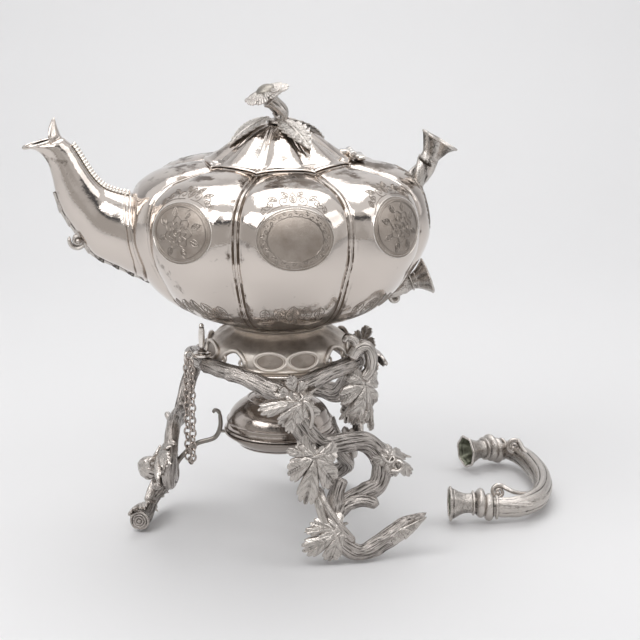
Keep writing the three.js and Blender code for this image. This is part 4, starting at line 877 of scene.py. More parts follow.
# The rod round an arch, and the two curls that it ends in
def archRods(line, centre):
    g = gallerySizes

    def onSkirt(across, up, proud):
        r = np.interp(up + seatHeight, line[:, 1], line[:, 0]) + proud
        return aroundAxis(r, centre + across / g["rimRadius"], seatHeight + up)

    x = np.linspace(-g["archWidth"] / 2, g["archWidth"] / 2, 33)
    rods = [rod(np.c_[onSkirt(x, archHeightAt(np.abs(x)), 0.4), np.full(33, g["archRod"])], sides=10, steps=60)]
    up, across, t = coil(g["curl"], 1.2, -math.pi / 2, 24)
    for side in (1, -1):
        path = onSkirt(side * (g["archWidth"] / 2 - g["curlIn"] - across), g["curlUp"] + up, 0.9)
        rods.append(rod(np.c_[path, g["curlRod"] - 0.5 * t], sides=8, steps=30))
    return rods


# A paired oval: two rims that bend with the skirt, and a domed ground between them
def galleryOval(angle):
    g = gallerySizes
    out, across = np.array([math.cos(angle), math.sin(angle),
                            0]), np.array([-math.sin(angle), math.cos(angle), 0])
    at = out * (g["rimRadius"] - g["ovalIn"]) + [0, 0, seatHeight + g["ovalUp"]]
    up = unit(np.array([0, 0, 1.0]) - out * 0.25)
    t = turnAngles(40)

    def ring(share, proud):
        flat = at + np.outer(np.cos(t) * g["ovalLength"] / 2 * share, across)
        bend = np.abs(np.cos(t))[:, None] ** 2 * out * g["ovalBend"] * share
        return flat + np.outer(np.sin(t) * g["ovalHeight"] / 2 * share, up) + out * proud - bend

    rims = [closedTube(ring(share, proud), thick, 8) for share, thick,
            proud in ((1.0, 1.35, 0.8), (0.84, 0.4, 1.2))]
    ground = surface(np.array([ring(share, 0.5 + 0.6 * (1 - share ** 2)) for share in np.linspace(1, 0.02, 9)]))
    return rims, ground


def galleryPieces():
    g = gallerySizes
    line = galleryLine()
    top = seatHeight + g["height"]
    starts = turnAngles(g["archCount"]) - math.pi / 2
    centres = starts + math.pi / g["archCount"]
    parts = gallerySkin(line, centres)
    parts.append(turnedShape([[r, top + z] for r, z in collarLine], 160))
    parts.append(turnedShape([[g["rimRadius"] + r, seatHeight + z] for r, z in rimBand], 192, looped=True))
    for centre in centres:
        parts += archRods(line, centre)
    halfStep = math.asin((g["ovalLength"] / 2 + g["ovalGap"]) / g["rimRadius"])
    ovals = [galleryOval(start + side * halfStep) for start in starts for side in (1, -1)]
    return parts, [rim for rims, _ in ovals for rim in rims], [ground for _, ground in ovals]


galleryParts, galleryOvals, ovalGrounds = galleryPieces()
addPiece("galleryShell", galleryParts, finishes["gallery"], "kettle", ["gallery_foot"], sharp=50,
         depth=0.35)
addPiece("galleryOvals", galleryOvals, finishes["gallery"], "kettle")
# the oval grounds between their rims take the same darker ground, as painted shade
addPiece("ovalGrounds", ovalGrounds, finishes["stippledShaded"], "kettle")
print("gallery made")


# Handle sockets

socketSizes = {
    "mouthRadius": 13.5, "mouthDepth": 8, "lip": 1.4, "stemRadius": 6.5, "length": 20,
    "upperAt": (111.7, 0, 116.2), "upperSunk": 2, "upperAim": (0.6, 0, 1), "lowerAt": (94.0, 0, 22),
    "lowerAim": (1, 0, 0.36), "curl": 4.4, "curlAt": (88, 13.4), "curlSide": 2.6, "curlRod": 1.9,
}
upperStem = [[94, 0, 88, 9], [98, 0, 94, 8], [103, 0, 102, 7.2], [108, 0, 109.5, 6.6], [114, 0, 120, 6.6]]
lowerStem = [[76, 0, 25, 7.4], [82, 0, 21.5, 6.9], [88, 0, 20, 6.5], [97, 0, 23, 6.3]]
trumpetShares = [[0, 1], [0.35, 0.86], [0.62, 1.15]]  # along it, and the radius as a share of the stem's


def lipRing(radius, petals, flare, turn, height, thick, sides):
    t = turnAngles(sides)
    r = radius * (1 + flare * np.cos(petals * t + turn))
    return closedTube(aroundAxis(r, t, height), thick, 10)


# A fluted trumpet and the hollow in its mouth
def trumpetParts(stem, at, aim, petals=8, flare=0.05, twist=0.0, collars=(0.3, 0.5)):
    mouth, length, lip, depth = [socketSizes[key] for key in ("mouthRadius", "length", "lip", "mouthDepth")]

    def flutes(a, z):
        return 1 + flare * np.cos(petals * a + twist * z) * smoothstep(z, 0, 0.5 * length)

    outer = [[0.01, 0]] + [[stem * r, length * z] for z, r in trumpetShares]
    outer += [[mouth * 0.86, length * 0.88], [mouth, length]]
    inner = [[mouth - lip, length], [mouth * 0.72, length - depth * 0.4], [stem * 0.8, length - depth],
             [0.01, length - depth]]
    parts = [turnedShape(outer, 96, flutes, smooth=40),
             lipRing(mouth - lip / 2, petals, flare, twist * length, length, lip * 0.75, 96)]
    for z in collars:
        ring = [[0.9, z], [1.08, z + 0.03], [1.05, z + 0.07], [0.88, z + 0.1]]
        parts.append(turnedShape([[stem * r, length * up] for r, up in ring], 64, looped=True))
    hollow = turnedShape(inner, 96, flutes, smooth=20)
    return [stoodAlong(p, at, aim) for p in parts], [stoodAlong(hollow, at, aim)]


def twistedRelief(a, s):
    return 2.6 * np.abs(np.cos(1.5 * a + s * 0.16)) - 1.5 + 0.5 * np.abs(np.cos(5 * a + s * 0.42))


def raised(stations):
    return [[x, y, bodyBase + z, r] for x, y, z, r in stations]


def socketPieces():
    z = socketSizes
    base = np.array([0, 0, bodyBase])
    aimUp, aimLow = unit(z["upperAim"]), unit(z["lowerAim"])
    upper, upperIn = trumpetParts(z["stemRadius"] * 1.15, base + z["upperAt"] - aimUp * z["upperSunk"], aimUp,
                                  5, 0.15, 0.2, ())
    upper.append(rod(raised(upperStem), sides=48, steps=50, relief=twistedRelief))
    upper.append(placedAs(leafSheet(19, 12, 1.2, curl=0.9, teeth=3), base + [97, -3, 96], [0.3, -0.25, 1],
                          [-0.6, -0.9, 0.3]))
    lower, lowerIn = trumpetParts(z["stemRadius"], base + z["lowerAt"], aimLow)
    lower.append(rod(raised(lowerStem), sides=48, steps=40, relief=twistedRelief))
    x, y, t = coil(z["curl"], 1.4, 1.4, 30)
    across, up = z["curlAt"]
    for side in (1, -1):
        curl = [across + x, side * z["curlSide"] + 0 * t, bodyBase + up + y, z["curlRod"] - 0.8 * t]
        lower.append(rod(np.stack(curl, -1), sides=10, steps=40))
    lower.append(placedAs(leafSheet(18, 9, 1.0, curl=-0.7, teeth=3), base + [88, 0, 27], [1, 0, 0.5],
                          [-0.5, 0, 1]))
    return upper, lower, upperIn, lowerIn


upperSocket, lowerSocket, upperIn, lowerIn = socketPieces()
addPiece("upperSocketPiece", upperSocket, finishes["leaf"], "kettle", ["socket_upper"])
addPiece("lowerSocketPiece", lowerSocket, finishes["leaf"], "kettle", ["socket_lower"])
# the insides of the mouths take the dark painted-shade finish
addPiece("upperSocketInside", upperIn, finishes["mouth"], "kettle")
addPiece("lowerSocketInside", lowerIn, finishes["mouth"], "kettle")
print("sockets made")


# Lid: lobes that carry on those of the body, and a rolled rim

lidSizes = {
    "radius": 51.5, "height": 26, "wall": 1.2, "drop": 2.4, "bezelRadius": 47.6, "bezelWall": 1.4,
    "bezelDepth": 4, "lobeDepth": 6.2, "ribHeight": 1.2, "ribWidth": 0.9, "grooveAt": 1.9, "grooveWidth": 0.5,
    "grooveShare": 0.4,
}
lidRim = [[48.2, 0.25], [52.6, 0.0], [53.8, 0.2], [54.1, 0.7], [53.6, 1.2], [52.2, 1.5], [48.2, 1.8]]
lidBase = bodyBase + bodySizes["height"] + 0.3
lidTop = lidBase + lidSizes["height"]
lidShares = [[1.03, 0.04], [0.97, 0.09], [0.83, 0.27], [0.66, 0.52], [0.5, 0.74], [0.34, 0.9], [0.15, 0.985],
             [0.01, 1]]


def lidPieces():
    z = lidSizes
    a = lobeAngles(0.8, 15, 27)
    s = np.abs(lobeLocal(a))
    line = flatCurve([[r * z["radius"], lidBase + up * z["height"]] for r, up in lidShares], 60)
    radius, height = line[:, :1], line[:, 1:]
    share = np.minimum(1, radius / z["radius"])
    rib = ribAt((1 - s) * radius * math.pi / bodySizes["lobes"], z["ribHeight"], z["ribWidth"], z["grooveAt"],
                z["grooveWidth"], z["grooveShare"])
    out = -z["lobeDepth"] * share * (1 - 0.45 * share ** 6) * s ** 2.2 + rib * smoothstep(radius, 6, 16)
    skin = surface(aroundAxis(radius + 0.5 * out, a, height + 0.85 * out))
    innerRadius = (radius[::-4] - z["wall"]).clip(0.01)
    within = innerRadius[:, 0] < z["bezelRadius"] - 2
    inner = surface(aroundAxis(innerRadius, a, height[::-4] - z["drop"])[within])
    scallop = 1 - 0.015 * s ** 2 + 0.045 * s ** 16
    rim = surface(np.array([aroundAxis(r * scallop, a, lidBase + up - neckDrop(a)) for r,
                            up in lidRim + lidRim[:1]]))
    bezelIn = z["bezelRadius"] - z["bezelWall"]
    bezel = [[bezelIn, 2.5], [bezelIn, -z["bezelDepth"]], [z["bezelRadius"], -z["bezelDepth"]],
             [z["bezelRadius"], 1.5]]
    return [skin, inner, rim, turnedShape([[r, lidBase + up] for r, up in bezel], 128, looped=True)]


finialSizes = {"flowerRadius": 17, "petals": 9, "petal": 0.8, "domeRadius": 7.2, "dots": 90, "dot": 0.42,
               "tilt": 22, "stemRadius": 4, "stemTop": (-7, -4.6, 19)}
flowerAim = unit([-math.sin(finialSizes["tilt"] * degree), -0.12, math.cos(finialSizes["tilt"] * degree)])
flowerSeat = np.array([0, 0, lidTop]) + finialSizes["stemTop"] + flowerAim * (finialSizes["stemRadius"] + 0.3)


goldenTurn = 2.39996  # from one dot to the next
flowerLayers = [(1, 0.0, 0.0), (0.78, 1.4, 0.5)]  # share of the radius, lift, and turn as a share of a petal
domeShares = [[1, 0.8], [1, 2.0], [0.9, 3.6], [0.6, 5.0], [0.3, 5.6]]  # share of the radius, and height
cupLine = [[3.2, -1.5], [6.2, -0.4], [9.5, 0.5], [6, 0.9], [3, 0.9]]


def petalLayer(size, lift, turn):
    f = finialSizes
    a = turnAngles(f["petals"] * 30)
    away = np.abs(((a * f["petals"] / fullTurn + turn) % 1) - 0.5) * 2
    share = np.linspace(0.25, 1, 14)[:, None]
    r = f["flowerRadius"] * size * share * (1 - 0.16 * away ** 5 * share ** 2)
    groove = 0.9 * (1 - away ** 3) * np.sin(np.pi * share) + 0.22 * np.cos(away * 16) * share
    z = f["petal"] + lift + groove - 1.4 * share ** 2 + 0.8 * np.sin(3 * a) * share ** 3
    top, low = aroundAxis(r, a, z), aroundAxis(r, a, z - f["petal"])[::-1]
    return surface(np.concatenate([top, low, top[:1]]))


def flowerPieces():
    radius, dots = finialSizes["domeRadius"], finialSizes["dots"]
    petals = [petalLayer(*layer) for layer in flowerLayers] + [turnedShape(cupLine, 64, looped=True)]
    middle = [turnedShape([[radius * r, z] for r, z in domeShares] + [[0.01, 5.8]], 64, smooth=16)]
    for k in range(dots):
        share, t = math.sqrt((k + 0.5) / dots), k * goldenTurn
        at = [radius * share * math.cos(t), radius * share * math.sin(t), 5.7 - 3.4 * share ** 2.6]
        middle.append(ball(finialSizes["dot"], at, 6))
    return [[stoodAlong(p, flowerSeat, flowerAim) for p in parts] for parts in (petals, middle)]


stemPath = [[0.5, 0, 2.5, 6.6], [2.6, -1, 6.8, 5.6], [1.4, -2, 10, 5.2], [-3, -3.5, 15, 5.4],
            [-7.5, -4.6, 19, 7]]
washerLine = [[0.01, 0.3], [7.6, 0.3], [8, 1.2], [6.6, 2.6], [0.01, 4.2]]
shankLine = [[0.01, -6], [2, -6], [2, 1], [0.01, 1]]
nutLine = [[2.3, 0], [5.2, 0], [5.2, 2.6], [4.6, 3], [2.3, 3]]


def overLid(line):
    return [[r, lidTop + z] for r, z in line]


def stemPieces():
    def twist(a, s):
        return 0.35 * np.cos(4 * a + s * 0.4) + 0.2 * np.cos(11 * a)

    stem = rod([[x, y, lidTop + z, r] for x, y, z, r in stemPath], sides=40, steps=50, relief=twist)
    return [stem, turnedShape(overLid(washerLine), 64, smooth=24), turnedShape(overLid(shankLine), 24)]


finialLeaves = {"Front": (31, 0, 0.5), "Left": (-78, 1.5, 0.6), "Right": (112, 0.4, 0.5)}  # azimuth, lift, curl


def finialLeaf(azimuth, lift, curl):
    leaf = leafSheet(37, 27, 1.1, curl=curl, cup=-0.05, teeth=7, notch=0.3, start=0.4, rows=110, half=16,
                     ridge=1.2)
    return placedAs(leaf, polar(6.5, azimuth, lidTop + 2.6 + lift), polar(1, azimuth, -0.26), [0, 0, 1])


addPiece("lidShell", lidPieces(), finishes["polished"], "lid", ["lid"], sharp=60)
petals, flowerMiddle = flowerPieces()
addPiece("finialFlower", petals, finishes["leaf"], "lid", ["finial_flower"], depth=0.5)
addPiece("flowerMiddle", flowerMiddle, finishes["bloom"], "lid", depth=0.5)
addPiece("finialStem", stemPieces(), finishes["leaf"], "lid", ["finial_stem"])
for title, place in finialLeaves.items():
    addPiece("finialLeaf" + title, [finialLeaf(*place)], finishes["finialLeaf"], "lid",
             ["finial_leaf_" + title.lower()], depth=0.6)
nut = moved(turnedShape(nutLine, 6, looped=True), at=[0, 0, lidTop - 5.8])
addPiece("finialNut", [nut], finishes["polished"], "lid", ["finial_nut"])
print("lid made")


# Hinge of the lid

hingeSizes = {
    "radius": 2.6, "pinRadius": 1.2, "pinHalf": 11.7, "knuckle": 7.4, "gap": 0.3, "offset": 2.9, "play": 0.15,
    "bodyPlate": ((2.9, -11.4, -4.4), (9, 11.4, -1.5)), "strap": ((2.0, -3.7, -2.8), (4.6, 3.7, -0.3)),
    "lidPlate": ((-8.5, -3.7, -1.2), (-2.0, 3.7, 2.4)),
}
hingeAxis = np.array([lidSizes["radius"] + hingeSizes["offset"], 0,
                      bodyBase + bodySizes["height"] + hingeSizes["radius"] + 0.6])


# A plate with bevelled edges between two corners
def plate(low, high, bevel=0.5):
    (x0, y0, z0), (x1, y1, z1) = low, high

    def ring(x, inset):
        sideY, endY = (y0 + inset, y1 - inset), (y0 + bevel + inset, y1 - bevel - inset)
        sideZ, endZ = (z0 + bevel, z1 - bevel), (z0 + inset, z1 - inset)
        return [[x, sideY[0], sideZ[0]], [x, endY[0], endZ[0]], [x, endY[1], endZ[0]], [x, sideY[1], sideZ[0]],
                [x, sideY[1], sideZ[1]], [x, endY[1], endZ[1]], [x, endY[0], endZ[1]], [x, sideY[0], sideZ[1]]]

    rows = [ring(x0, bevel * 0.6), ring(x0 + bevel, 0), ring(x1 - bevel, 0), ring(x1, bevel * 0.6)]
    return surface(np.array(rows), caps=(True, True))


def onHinge(line, sides, y=0.0, looped=False):
    return moved(turnedShape(line, sides, looped=looped), [[1, 0, 0], [0, 0, -1], [0, 1, 0]],
                 hingeAxis + [0, y, 0])


def knuckle(y):
    half, radius = hingeSizes["knuckle"] / 2, hingeSizes["radius"]
    bore = hingeSizes["pinRadius"] + hingeSizes["play"]
    line = [[bore, -half], [radius - 0.3, -half], [radius, -half + 0.3], [radius, half - 0.3],
            [radius - 0.3, half], [bore, half]]
    return onHinge(line, 32, y, True)


def hingePlate(name, y=0.0):
    low, high = hingeSizes[name]
    return plate(hingeAxis + low + [0, y, 0], hingeAxis + high + [0, y, 0])


def hingePin():
    radius, half = hingeSizes["pinRadius"], hingeSizes["pinHalf"]
    line = [[0.01, -half], [radius - 0.3, -half], [radius, 0.3 - half], [radius, half - 0.3],
            [radius - 0.3, half], [0.01, half]]
    return onHinge(line, 24)


step = hingeSizes["knuckle"] + hingeSizes["gap"]
bodyLeaf = [knuckle(-step), knuckle(step), hingePlate("bodyPlate"), hingePlate("strap", -step),
            hingePlate("strap", step)]
addPiece("hingeLeafBody", bodyLeaf, finishes["chased"], "kettle", ["hinge_leaf_body"])
addPiece("hingeLeafLid", [knuckle(0), hingePlate("lidPlate")], finishes["chased"], "lid",
         ["hinge_leaf_lid"])
addPiece("hingePinPiece", [hingePin()], finishes["polished"], "kettle", ["hinge_pin"])
print("hinge made")


# Stand: three legs cast as vine branches

legSizes = {"across": 61, "out": 96, "height": 121, "girth": 9, "footing": 1.4, "flatness": 0.66}
armSizes = {"radius": 64, "height": 133.6, "girth": 8, "fork": -9.3, "reach": 60}
trunkShares = [
    [-0.19, 0.73, 1, 0.86], [-0.015, 0.78, 0.81, 0.9], [0.21, 0.78, 0.683, 0.9], [0.535, 0.755, 0.68, 0.84],
    [0.82, 0.71, 0.655, 0.84], [1.02, 0.69, 0.52, 0.84], [0.965, 0.71, 0.38, 0.84], [0.73, 0.755, 0.335, 0.8],
    [0.49, 0.82, 0.3, 0.78], [0.32, 0.91, 0.21, 0.75], [0.36, 0.99, 0.132, 0.72],
]
stubShares = [[0.36, 0.86, 0.24, 0.72], [0.37, 0.84, 0.31, 0.72], [0.4, 0.83, 0.385, 0.64],
              [0.455, 0.82, 0.465, 0.58]]
sideStubShares = [[0.4, 0.85, 0.25, 0.5], [0.52, 0.84, 0.305, 0.5], [0.7, 0.84, 0.325, 0.5],
                  [0.93, 0.84, 0.29, 0.46]]
twigShares = [[0.17, 0.83, 0.44, 0.28], [0.18, 0.85, 0.413, 0.34], [0.23, 0.91, 0.335, 0.34],
              [0.361, 0.98, 0.231, 0.333], [0.557, 1.01, 0.107, 0.333]]
shootShares = [[0.93, 0.69, 0.55, 0.33], [0.984, 0.71, 0.53, 0.333], [1.115, 0.72, 0.496, 0.311],
               [1.197, 0.72, 0.446, 0.27]]
wholeFootShares = [[0.62, 1, 0.03, 0.7], [0.93, 0.99, 0.1, 0.82], [1.2, 0.97, 0.18, 0.74],
                   [1.48, 0.94, 0.24, 0.12]]
cutFootShares = [[0.6, 1, 0.03, 0.76], [0.86, 0.995, 0.05, 0.86]]
armShares = [[0, 1.09, 0.9, 1], [0.2, 1.05, 0.945, 0.88], [0.5, 1.01, 0.99, 0.76], [0.75, 1, 1, 0.72],
             [1.0, 1, 1, 0.7]]
legPlaces = [("front", 6.5, True), ("left", -113.5, False), ("right", 126.5, True)]


def bark(strength=1.0, seed=0):
    shift = rng.uniform(0, fullTurn, 6) + seed

    def relief(a, s):
        knots = 1.3 * np.exp(-((s % 31) - 13) ** 2 / 14) * np.maximum(0, np.cos(a - s * 0.21 + shift[4])) ** 2
        grain = (0.6 * np.abs(np.sin(2 * a + s * 0.05 + shift[0] + 0.5 * np.sin(s * 0.14 + shift[1])))
                 + 0.42 * np.abs(np.sin(4.5 * a - s * 0.035 + shift[2] + 0.7 * np.sin(s * 0.1)))
                 + 0.3 * np.abs(np.sin(8.5 * a + s * 0.05 + shift[3] + 0.5 * np.sin(s * 0.2)))
                 + 0.2 * np.abs(np.sin(15 * a - s * 0.06 + shift[1])))
        return strength * (grain - 0.85 + knots + 0.3 * np.sin(s * 0.4 + shift[5]))

    return relief


def legPoint(share):
    across, out, up, girth = share
    s = legSizes
    return [across * s["across"], -out * s["out"], max(up * s["height"], girth * s["girth"] - s["footing"]),
            girth * s["girth"]]


def beside(across, out, up):
    return np.array([across, -out, up], float)


def cutEnd(station, before, radius):
    # a sawn end with growth rings
    at, aim = np.array(station[:3], float), unit(np.array(station[:3], float) - np.array(before[:3], float))
    line = [[0.01, 1.6]]
    for k in range(1, 4):
        r = radius * k / 4
        line += [[r - 0.7, 1.7 - 0.25 * k], [r, 0.1 - 0.2 * k], [r + 0.5, 1.4 - 0.25 * k]]
    line += [[radius * 0.93, 0.6], [radius * 1.0, -0.1], [radius * 0.98, -1.5]]
    return stoodAlong(turnedShape(line, 40), at, aim)


def stub(stations, cut, seed):
    parts = [rod(stations, sides=48, steps=30, relief=bark(0.7, seed), ends="flat" if cut else "round")]
    if cut:
        parts.append(cutEnd(stations[-1], stations[-2], stations[-1][3]))
    return parts


def armRods(seed):
    s = armSizes
    parts = []
    for side in (1, -1):
        path = [[*polar(r * s["radius"], s["fork"] + side * share * s["reach"], z * s["height"]),
                 girth * s["girth"]]
                for share, r, z, girth in armShares]
        parts.append(rod(path, sides=64, steps=80, relief=bark(0.6, seed + side), ends="flat"))
    return parts


# The trunk is flatter from front to back than across its face
def trunk(whole, seed):
    flat = legSizes["flatness"]
    path = [legPoint(s) for s in trunkShares + (wholeFootShares if whole else cutFootShares)]
    wood = rod([[x, y / flat, z, r] for x, y, z, r in path], sides=84, steps=210, relief=bark(0.6, seed),
               ends="round" if whole else "flat")
    parts = [moved(wood, [[1, 0, 0], [0, flat, 0], [0, 0, 1]])]
    if not whole:
        parts.append(cutEnd(path[-1], path[-2], path[-1][3]))
    return parts


def legWood(whole, seed):
    parts = trunk(whole, seed)
    parts += stub([legPoint(s) for s in stubShares], True, seed + 1)
    parts += stub([legPoint(s) for s in sideStubShares], False, seed + 2)
    for k, shares in enumerate((twigShares, shootShares)):
        parts.append(rod([legPoint(s) for s in shares], sides=20, steps=44, relief=bark(0.4, seed + k)))
    return parts + armRods(seed)


def tendril(start, turns, radius, aim, face, thick, length):
    x, y, t = coil(radius, turns, -math.pi / 2, 44)
    path = np.c_[length * t ** 0.7 + x, y + radius, 2.2 * np.sin(t * 9), thick * (1 - 0.5 * t)]
    return placedAs(rod(path, sides=8, steps=60), beside(*start), beside(*aim), beside(*face))


# Places beside a leg: across, out from the axis and up
legLeafPlaces = [  # [stalk end, tip, width, facing, droop, fold]
    [(-7.4, 81, 123.5), (-11, 86, 139.5), 20, (0.1, 1, 0.1), 0.2, -0.1],
    [(-2.5, 88, 121), (-34, 89, 119), 27, (-0.1, 1, 0.55), 0.34, 0.35],
    [(-8, 88, 119), (-14, 92, 99), 17, (-0.2, 1, 0.1), 0.25, 0.2],
    [(53.7, 51, 118.6), (46, 60, 90), 31, (0.35, 1, 0.25), 0.36, 0.2],
    [(58, 46, 99), (62.3, 48, 81), 11, (0.8, 1, 0), 0.3, 0.2],
    [(7, 87, 78), (-2.5, 94, 44), 34, (-0.25, 1, 0.15), 0.34, 0.1],
    [(4, 83, 77), (-13, 86, 84), 14, (-0.3, 1, 0.3), 0.3, 0],
    [(20.5, 98, 22), (-4, 103, 12), 31, (-0.15, 1, 0.2), 0.4, 0.1],
    [(21, 96, 25), (-2.5, 98, 28), 15, (0, 0.8, 0.8), 0.3, 0.2],
]
kneeLeaf = [(66, 72, 69), (87, 75, 55), 20, (0.35, 1, 0.3), 0.45, 0.35]
cutFootLeaves = [
    [(38, 97, 15), (60, 103, 18), 13, (0, 0.8, 1), 0.3, 0.2],
    [(19.2, 84, 45.2), (12.7, 93, 10.9), 11, (0.9, 0.6, 0.1), 0.1, 0.2],
]
kneeTendrils = [  # [start, turns, radius, along, facing, thickness, length]
    [(66, 76, 60), 1.5, 5.2, (0.8, 0, -0.7), (0, 1, 0), 1.7, 5],
    [(60, 74, 72), 1.1, 5.0, (0.25, 0, -1), (-0.2, 1, 0), 1.2, 11],
]
leafStalks = {  # stations of [across, out, up, radius]
    "top": [(-4, 89, 122, 1.5), (-0.5, 92, 121, 1.4), (3.5, 91, 112, 1.4), (3.5, 85, 98, 1.6)],
    "topLoop": [(42, 50, 138, 5), (48, 50, 147, 4.8), (55, 49, 147, 4.4), (59, 48, 138, 4.4),
                (57.5, 48, 128, 4.2), (51, 50, 121, 3.4)],
    "topCurl": [(47, 50, 146, 3.6), (45, 51, 153, 3), (39, 52, 156, 2.4), (36, 53, 152, 1.8)],
    "middle": [(19, 80, 75.5, 2.2), (12, 87, 79.5, 1.8), (3.6, 88, 78, 1.4)],
    "low": [(5, 84, 52, 2.6), (8.5, 87, 44, 3), (11.5, 92, 31, 3.2), (15, 95, 22, 3.2)],
    "knob": [(39.7, 78, 43, 4.5), (47.5, 82, 48, 6.5), (55, 87, 51, 8.5), (60, 90, 51.5, 6.0)],
}


def vineLeaf(base, tip, width, face, droop, fold):
    return leafFrom(beside(*base), beside(*tip), width, beside(*face), droop=droop, fold=fold)


def stalk(name, sides, steps, relief=None):
    return rod([[*beside(*place), r] for *place, r in leafStalks[name]], sides=sides, steps=steps,
               relief=relief)


def legLeaves(whole, missing):
    parts = [vineLeaf(*place) for k, place in enumerate(legLeafPlaces) if k not in missing]
    if whole:
        parts.append(stalk("top", 12, 40))
        parts.append(stalk("topLoop", 48, 60, bark(0.6, 6)))
        parts.append(stalk("topCurl", 32, 40, bark(0.4, 7)))
    parts.append(stalk("middle", 12, 24))
    parts.append(stalk("low", 24, 40, bark(0.35, 4)))
    blade = leafSheet(26, 6, 1.2, curl=0.2, cup=0.5, teeth=5, notch=0.12, rows=44)
    parts.append(placedAs(blade, beside(63, 66, 73), beside(1, -0.1, -0.36), beside(0.2, 0.8, 0.8)))
    parts.append(vineLeaf(*kneeLeaf))
    parts += [tendril(*place) for place in kneeTendrils]
    if whole:
        footLeaf = leafSheet(40, 15, 1.6, curl=-0.45, cup=0.6, teeth=4, notch=0.16, rows=50, ridge=0.8)
        parts.append(placedAs(footLeaf, beside(50, 98, 15), beside(1, -0.08, 0.22), beside(0, 0.8, 0.9)))
    else:
        parts += [vineLeaf(*place) for place in cutFootLeaves]
        parts.append(stalk("knob", 60, 50, bark(1.1, 8)))
    return parts


def onGround(part):
    points, faces, grain = part
    points = points.copy()
    points[:, 2] = np.maximum(points[:, 2], 0)
    return points, faces, grain


lostLeaves = {"front": (), "left": (0, 1, 2, 3, 4, 5, 6), "right": (7, 8)}
for k, (name, azimuth, whole) in enumerate(legPlaces):
    wood = [onGround(spun(p, azimuth * degree)) for p in legWood(whole, 3.1 * k)]
    leaves = [onGround(spun(p, azimuth * degree)) for p in legLeaves(whole, lostLeaves[name])]
    title = name.capitalize()
    addPiece("legBranch" + title, wood, finishes["bark"], "stand", ["leg_" + name], sharp=70,
             depth=0.42)
    addPiece("legLeaves" + title, leaves, finishes["leaf"], "stand", sharp=60, depth=0.5)
print("legs made")

seatSizes = {"height": 131.7, "inner": 49, "outer": 60, "thickness": 2.7}
seatLow = seatSizes["height"] - seatSizes["thickness"]
seatLine = [[seatSizes["inner"], seatLow], [seatSizes["outer"], seatLow],
            [seatSizes["outer"] + 0.6, seatLow + 0.8], [seatSizes["outer"] + 0.4, seatSizes["height"] - 0.7],
            [seatSizes["outer"] - 0.6, seatSizes["height"]], [seatSizes["inner"] + 1, seatSizes["height"]],
            [seatSizes["inner"], seatSizes["height"] - 0.5]]
addPiece("seatRing", [turnedShape(seatLine, 160, looped=True)], finishes["chased"], "stand",
         ["seat_ring"])


# Spirit lamp on its three wire arms

lampSizes = {"flangeRadius": 42.5, "flangeHeight": 72, "sides": 144, "armGap": 2.7, "armTurn": 17,
             "domeUp": 1.9, "domeRise": 23.5, "tubeUp": 28.7}
armStart = [[0.87, 0.285], [0.77, 0.39], [0.66, 0.46]]  # shares of the leg's reach and the seat's height
armEnd = [(4, -6, 1.8), (0, 2, 1.8), (0, 14, 1.5)]  # out from the upright, up from the ledge, radius
armCurl = [(0, 12, 1.5), (1.5, 15, 1.5), (4.2, 15.6, 1.4), (5, 13, 1.2)]
bowlLine = [[0.01, -14], [17, -13.7], [26, -11.5], [33, -7.6], [37.6, -3.2], [39, -0.6], [42, -0.3],
            [42.5, 0.5], [42.2, 1.3], [41, 1.6], [38, 1.6], [37, -2], [31, -8.5], [17, -12.3], [0.01, -12.4]]
bowlMoulding = [[38.9, -1.2], [40.4, -1.6], [40.9, -0.9], [40.2, -0.2], [38.9, -0.2]]
bowlBelt = [[29.6, -9.9], [31.2, -9.6], [31.8, -8.6], [31.0, -8.6]]
domeRim = [[38.6, 0], [41.4, 0], [41.6, 0.8], [41.0, 1.5], [40.2, 2.0], [40.5, 2.7]]
domeShares = [[0.95, 0], [0.945, 0.08], [0.93, 0.16], [0.84, 0.5], [0.62, 0.82], [0.36, 1], [0.24, 1.02]]
domeRingShares = (0.12, 0.66, 0.8)
domeRing = [[-0.4, -0.9], [0.7, -0.5], [0.8, 0.2], [0.1, 0.9], [-1.0, 0.8]]
tubeLine = [[5.3, -16], [7, -16], [7, 0], [12, 0], [12.6, 0.5], [12.4, 1.4], [10.4, 1.9], [7.6, 2.4],
            [7.1, 3.4], [7.0, 9.6], [7.4, 10.4], [6.9, 11], [5.3, 11]]
wickLine = [[0.01, -16], [4.7, -16], [4.8, 10], [4.9, 12.6], [4.2, 13.8], [0.01, 13.4]]


def lampArm():
    out = lampSizes["flangeRadius"] + lampSizes["armGap"]
    ledge = lampSizes["flangeHeight"] - 0.3
    path = [[0, -r * legSizes["out"], z * seatSizes["height"], 1.9] for r, z in armStart]
    path += [[0, -out - away, ledge + up, r] for away, up, r in armEnd]
    curl = [[0, -out - away, ledge + up, r] for away, up, r in armCurl]
    return [rod(path, sides=16, steps=80), rod(curl, sides=12, steps=24),
            plate([-1.8, -out - 0.9, ledge - 2], [1.8, -out + 4.8, ledge])]


for name, azimuth, _ in legPlaces:
    arm = [spun(p, (azimuth + lampSizes["armTurn"]) * degree) for p in lampArm()]
    addPiece("lampArm" + name.capitalize(), arm, finishes["dark"], "stand", ["lamp_arm_" + name])


def turnedAt(height, line, sides=lampSizes["sides"], looped=True, swell=None):
    return turnedShape([[r, height + z] for r, z in line], sides, swell, looped=looped)


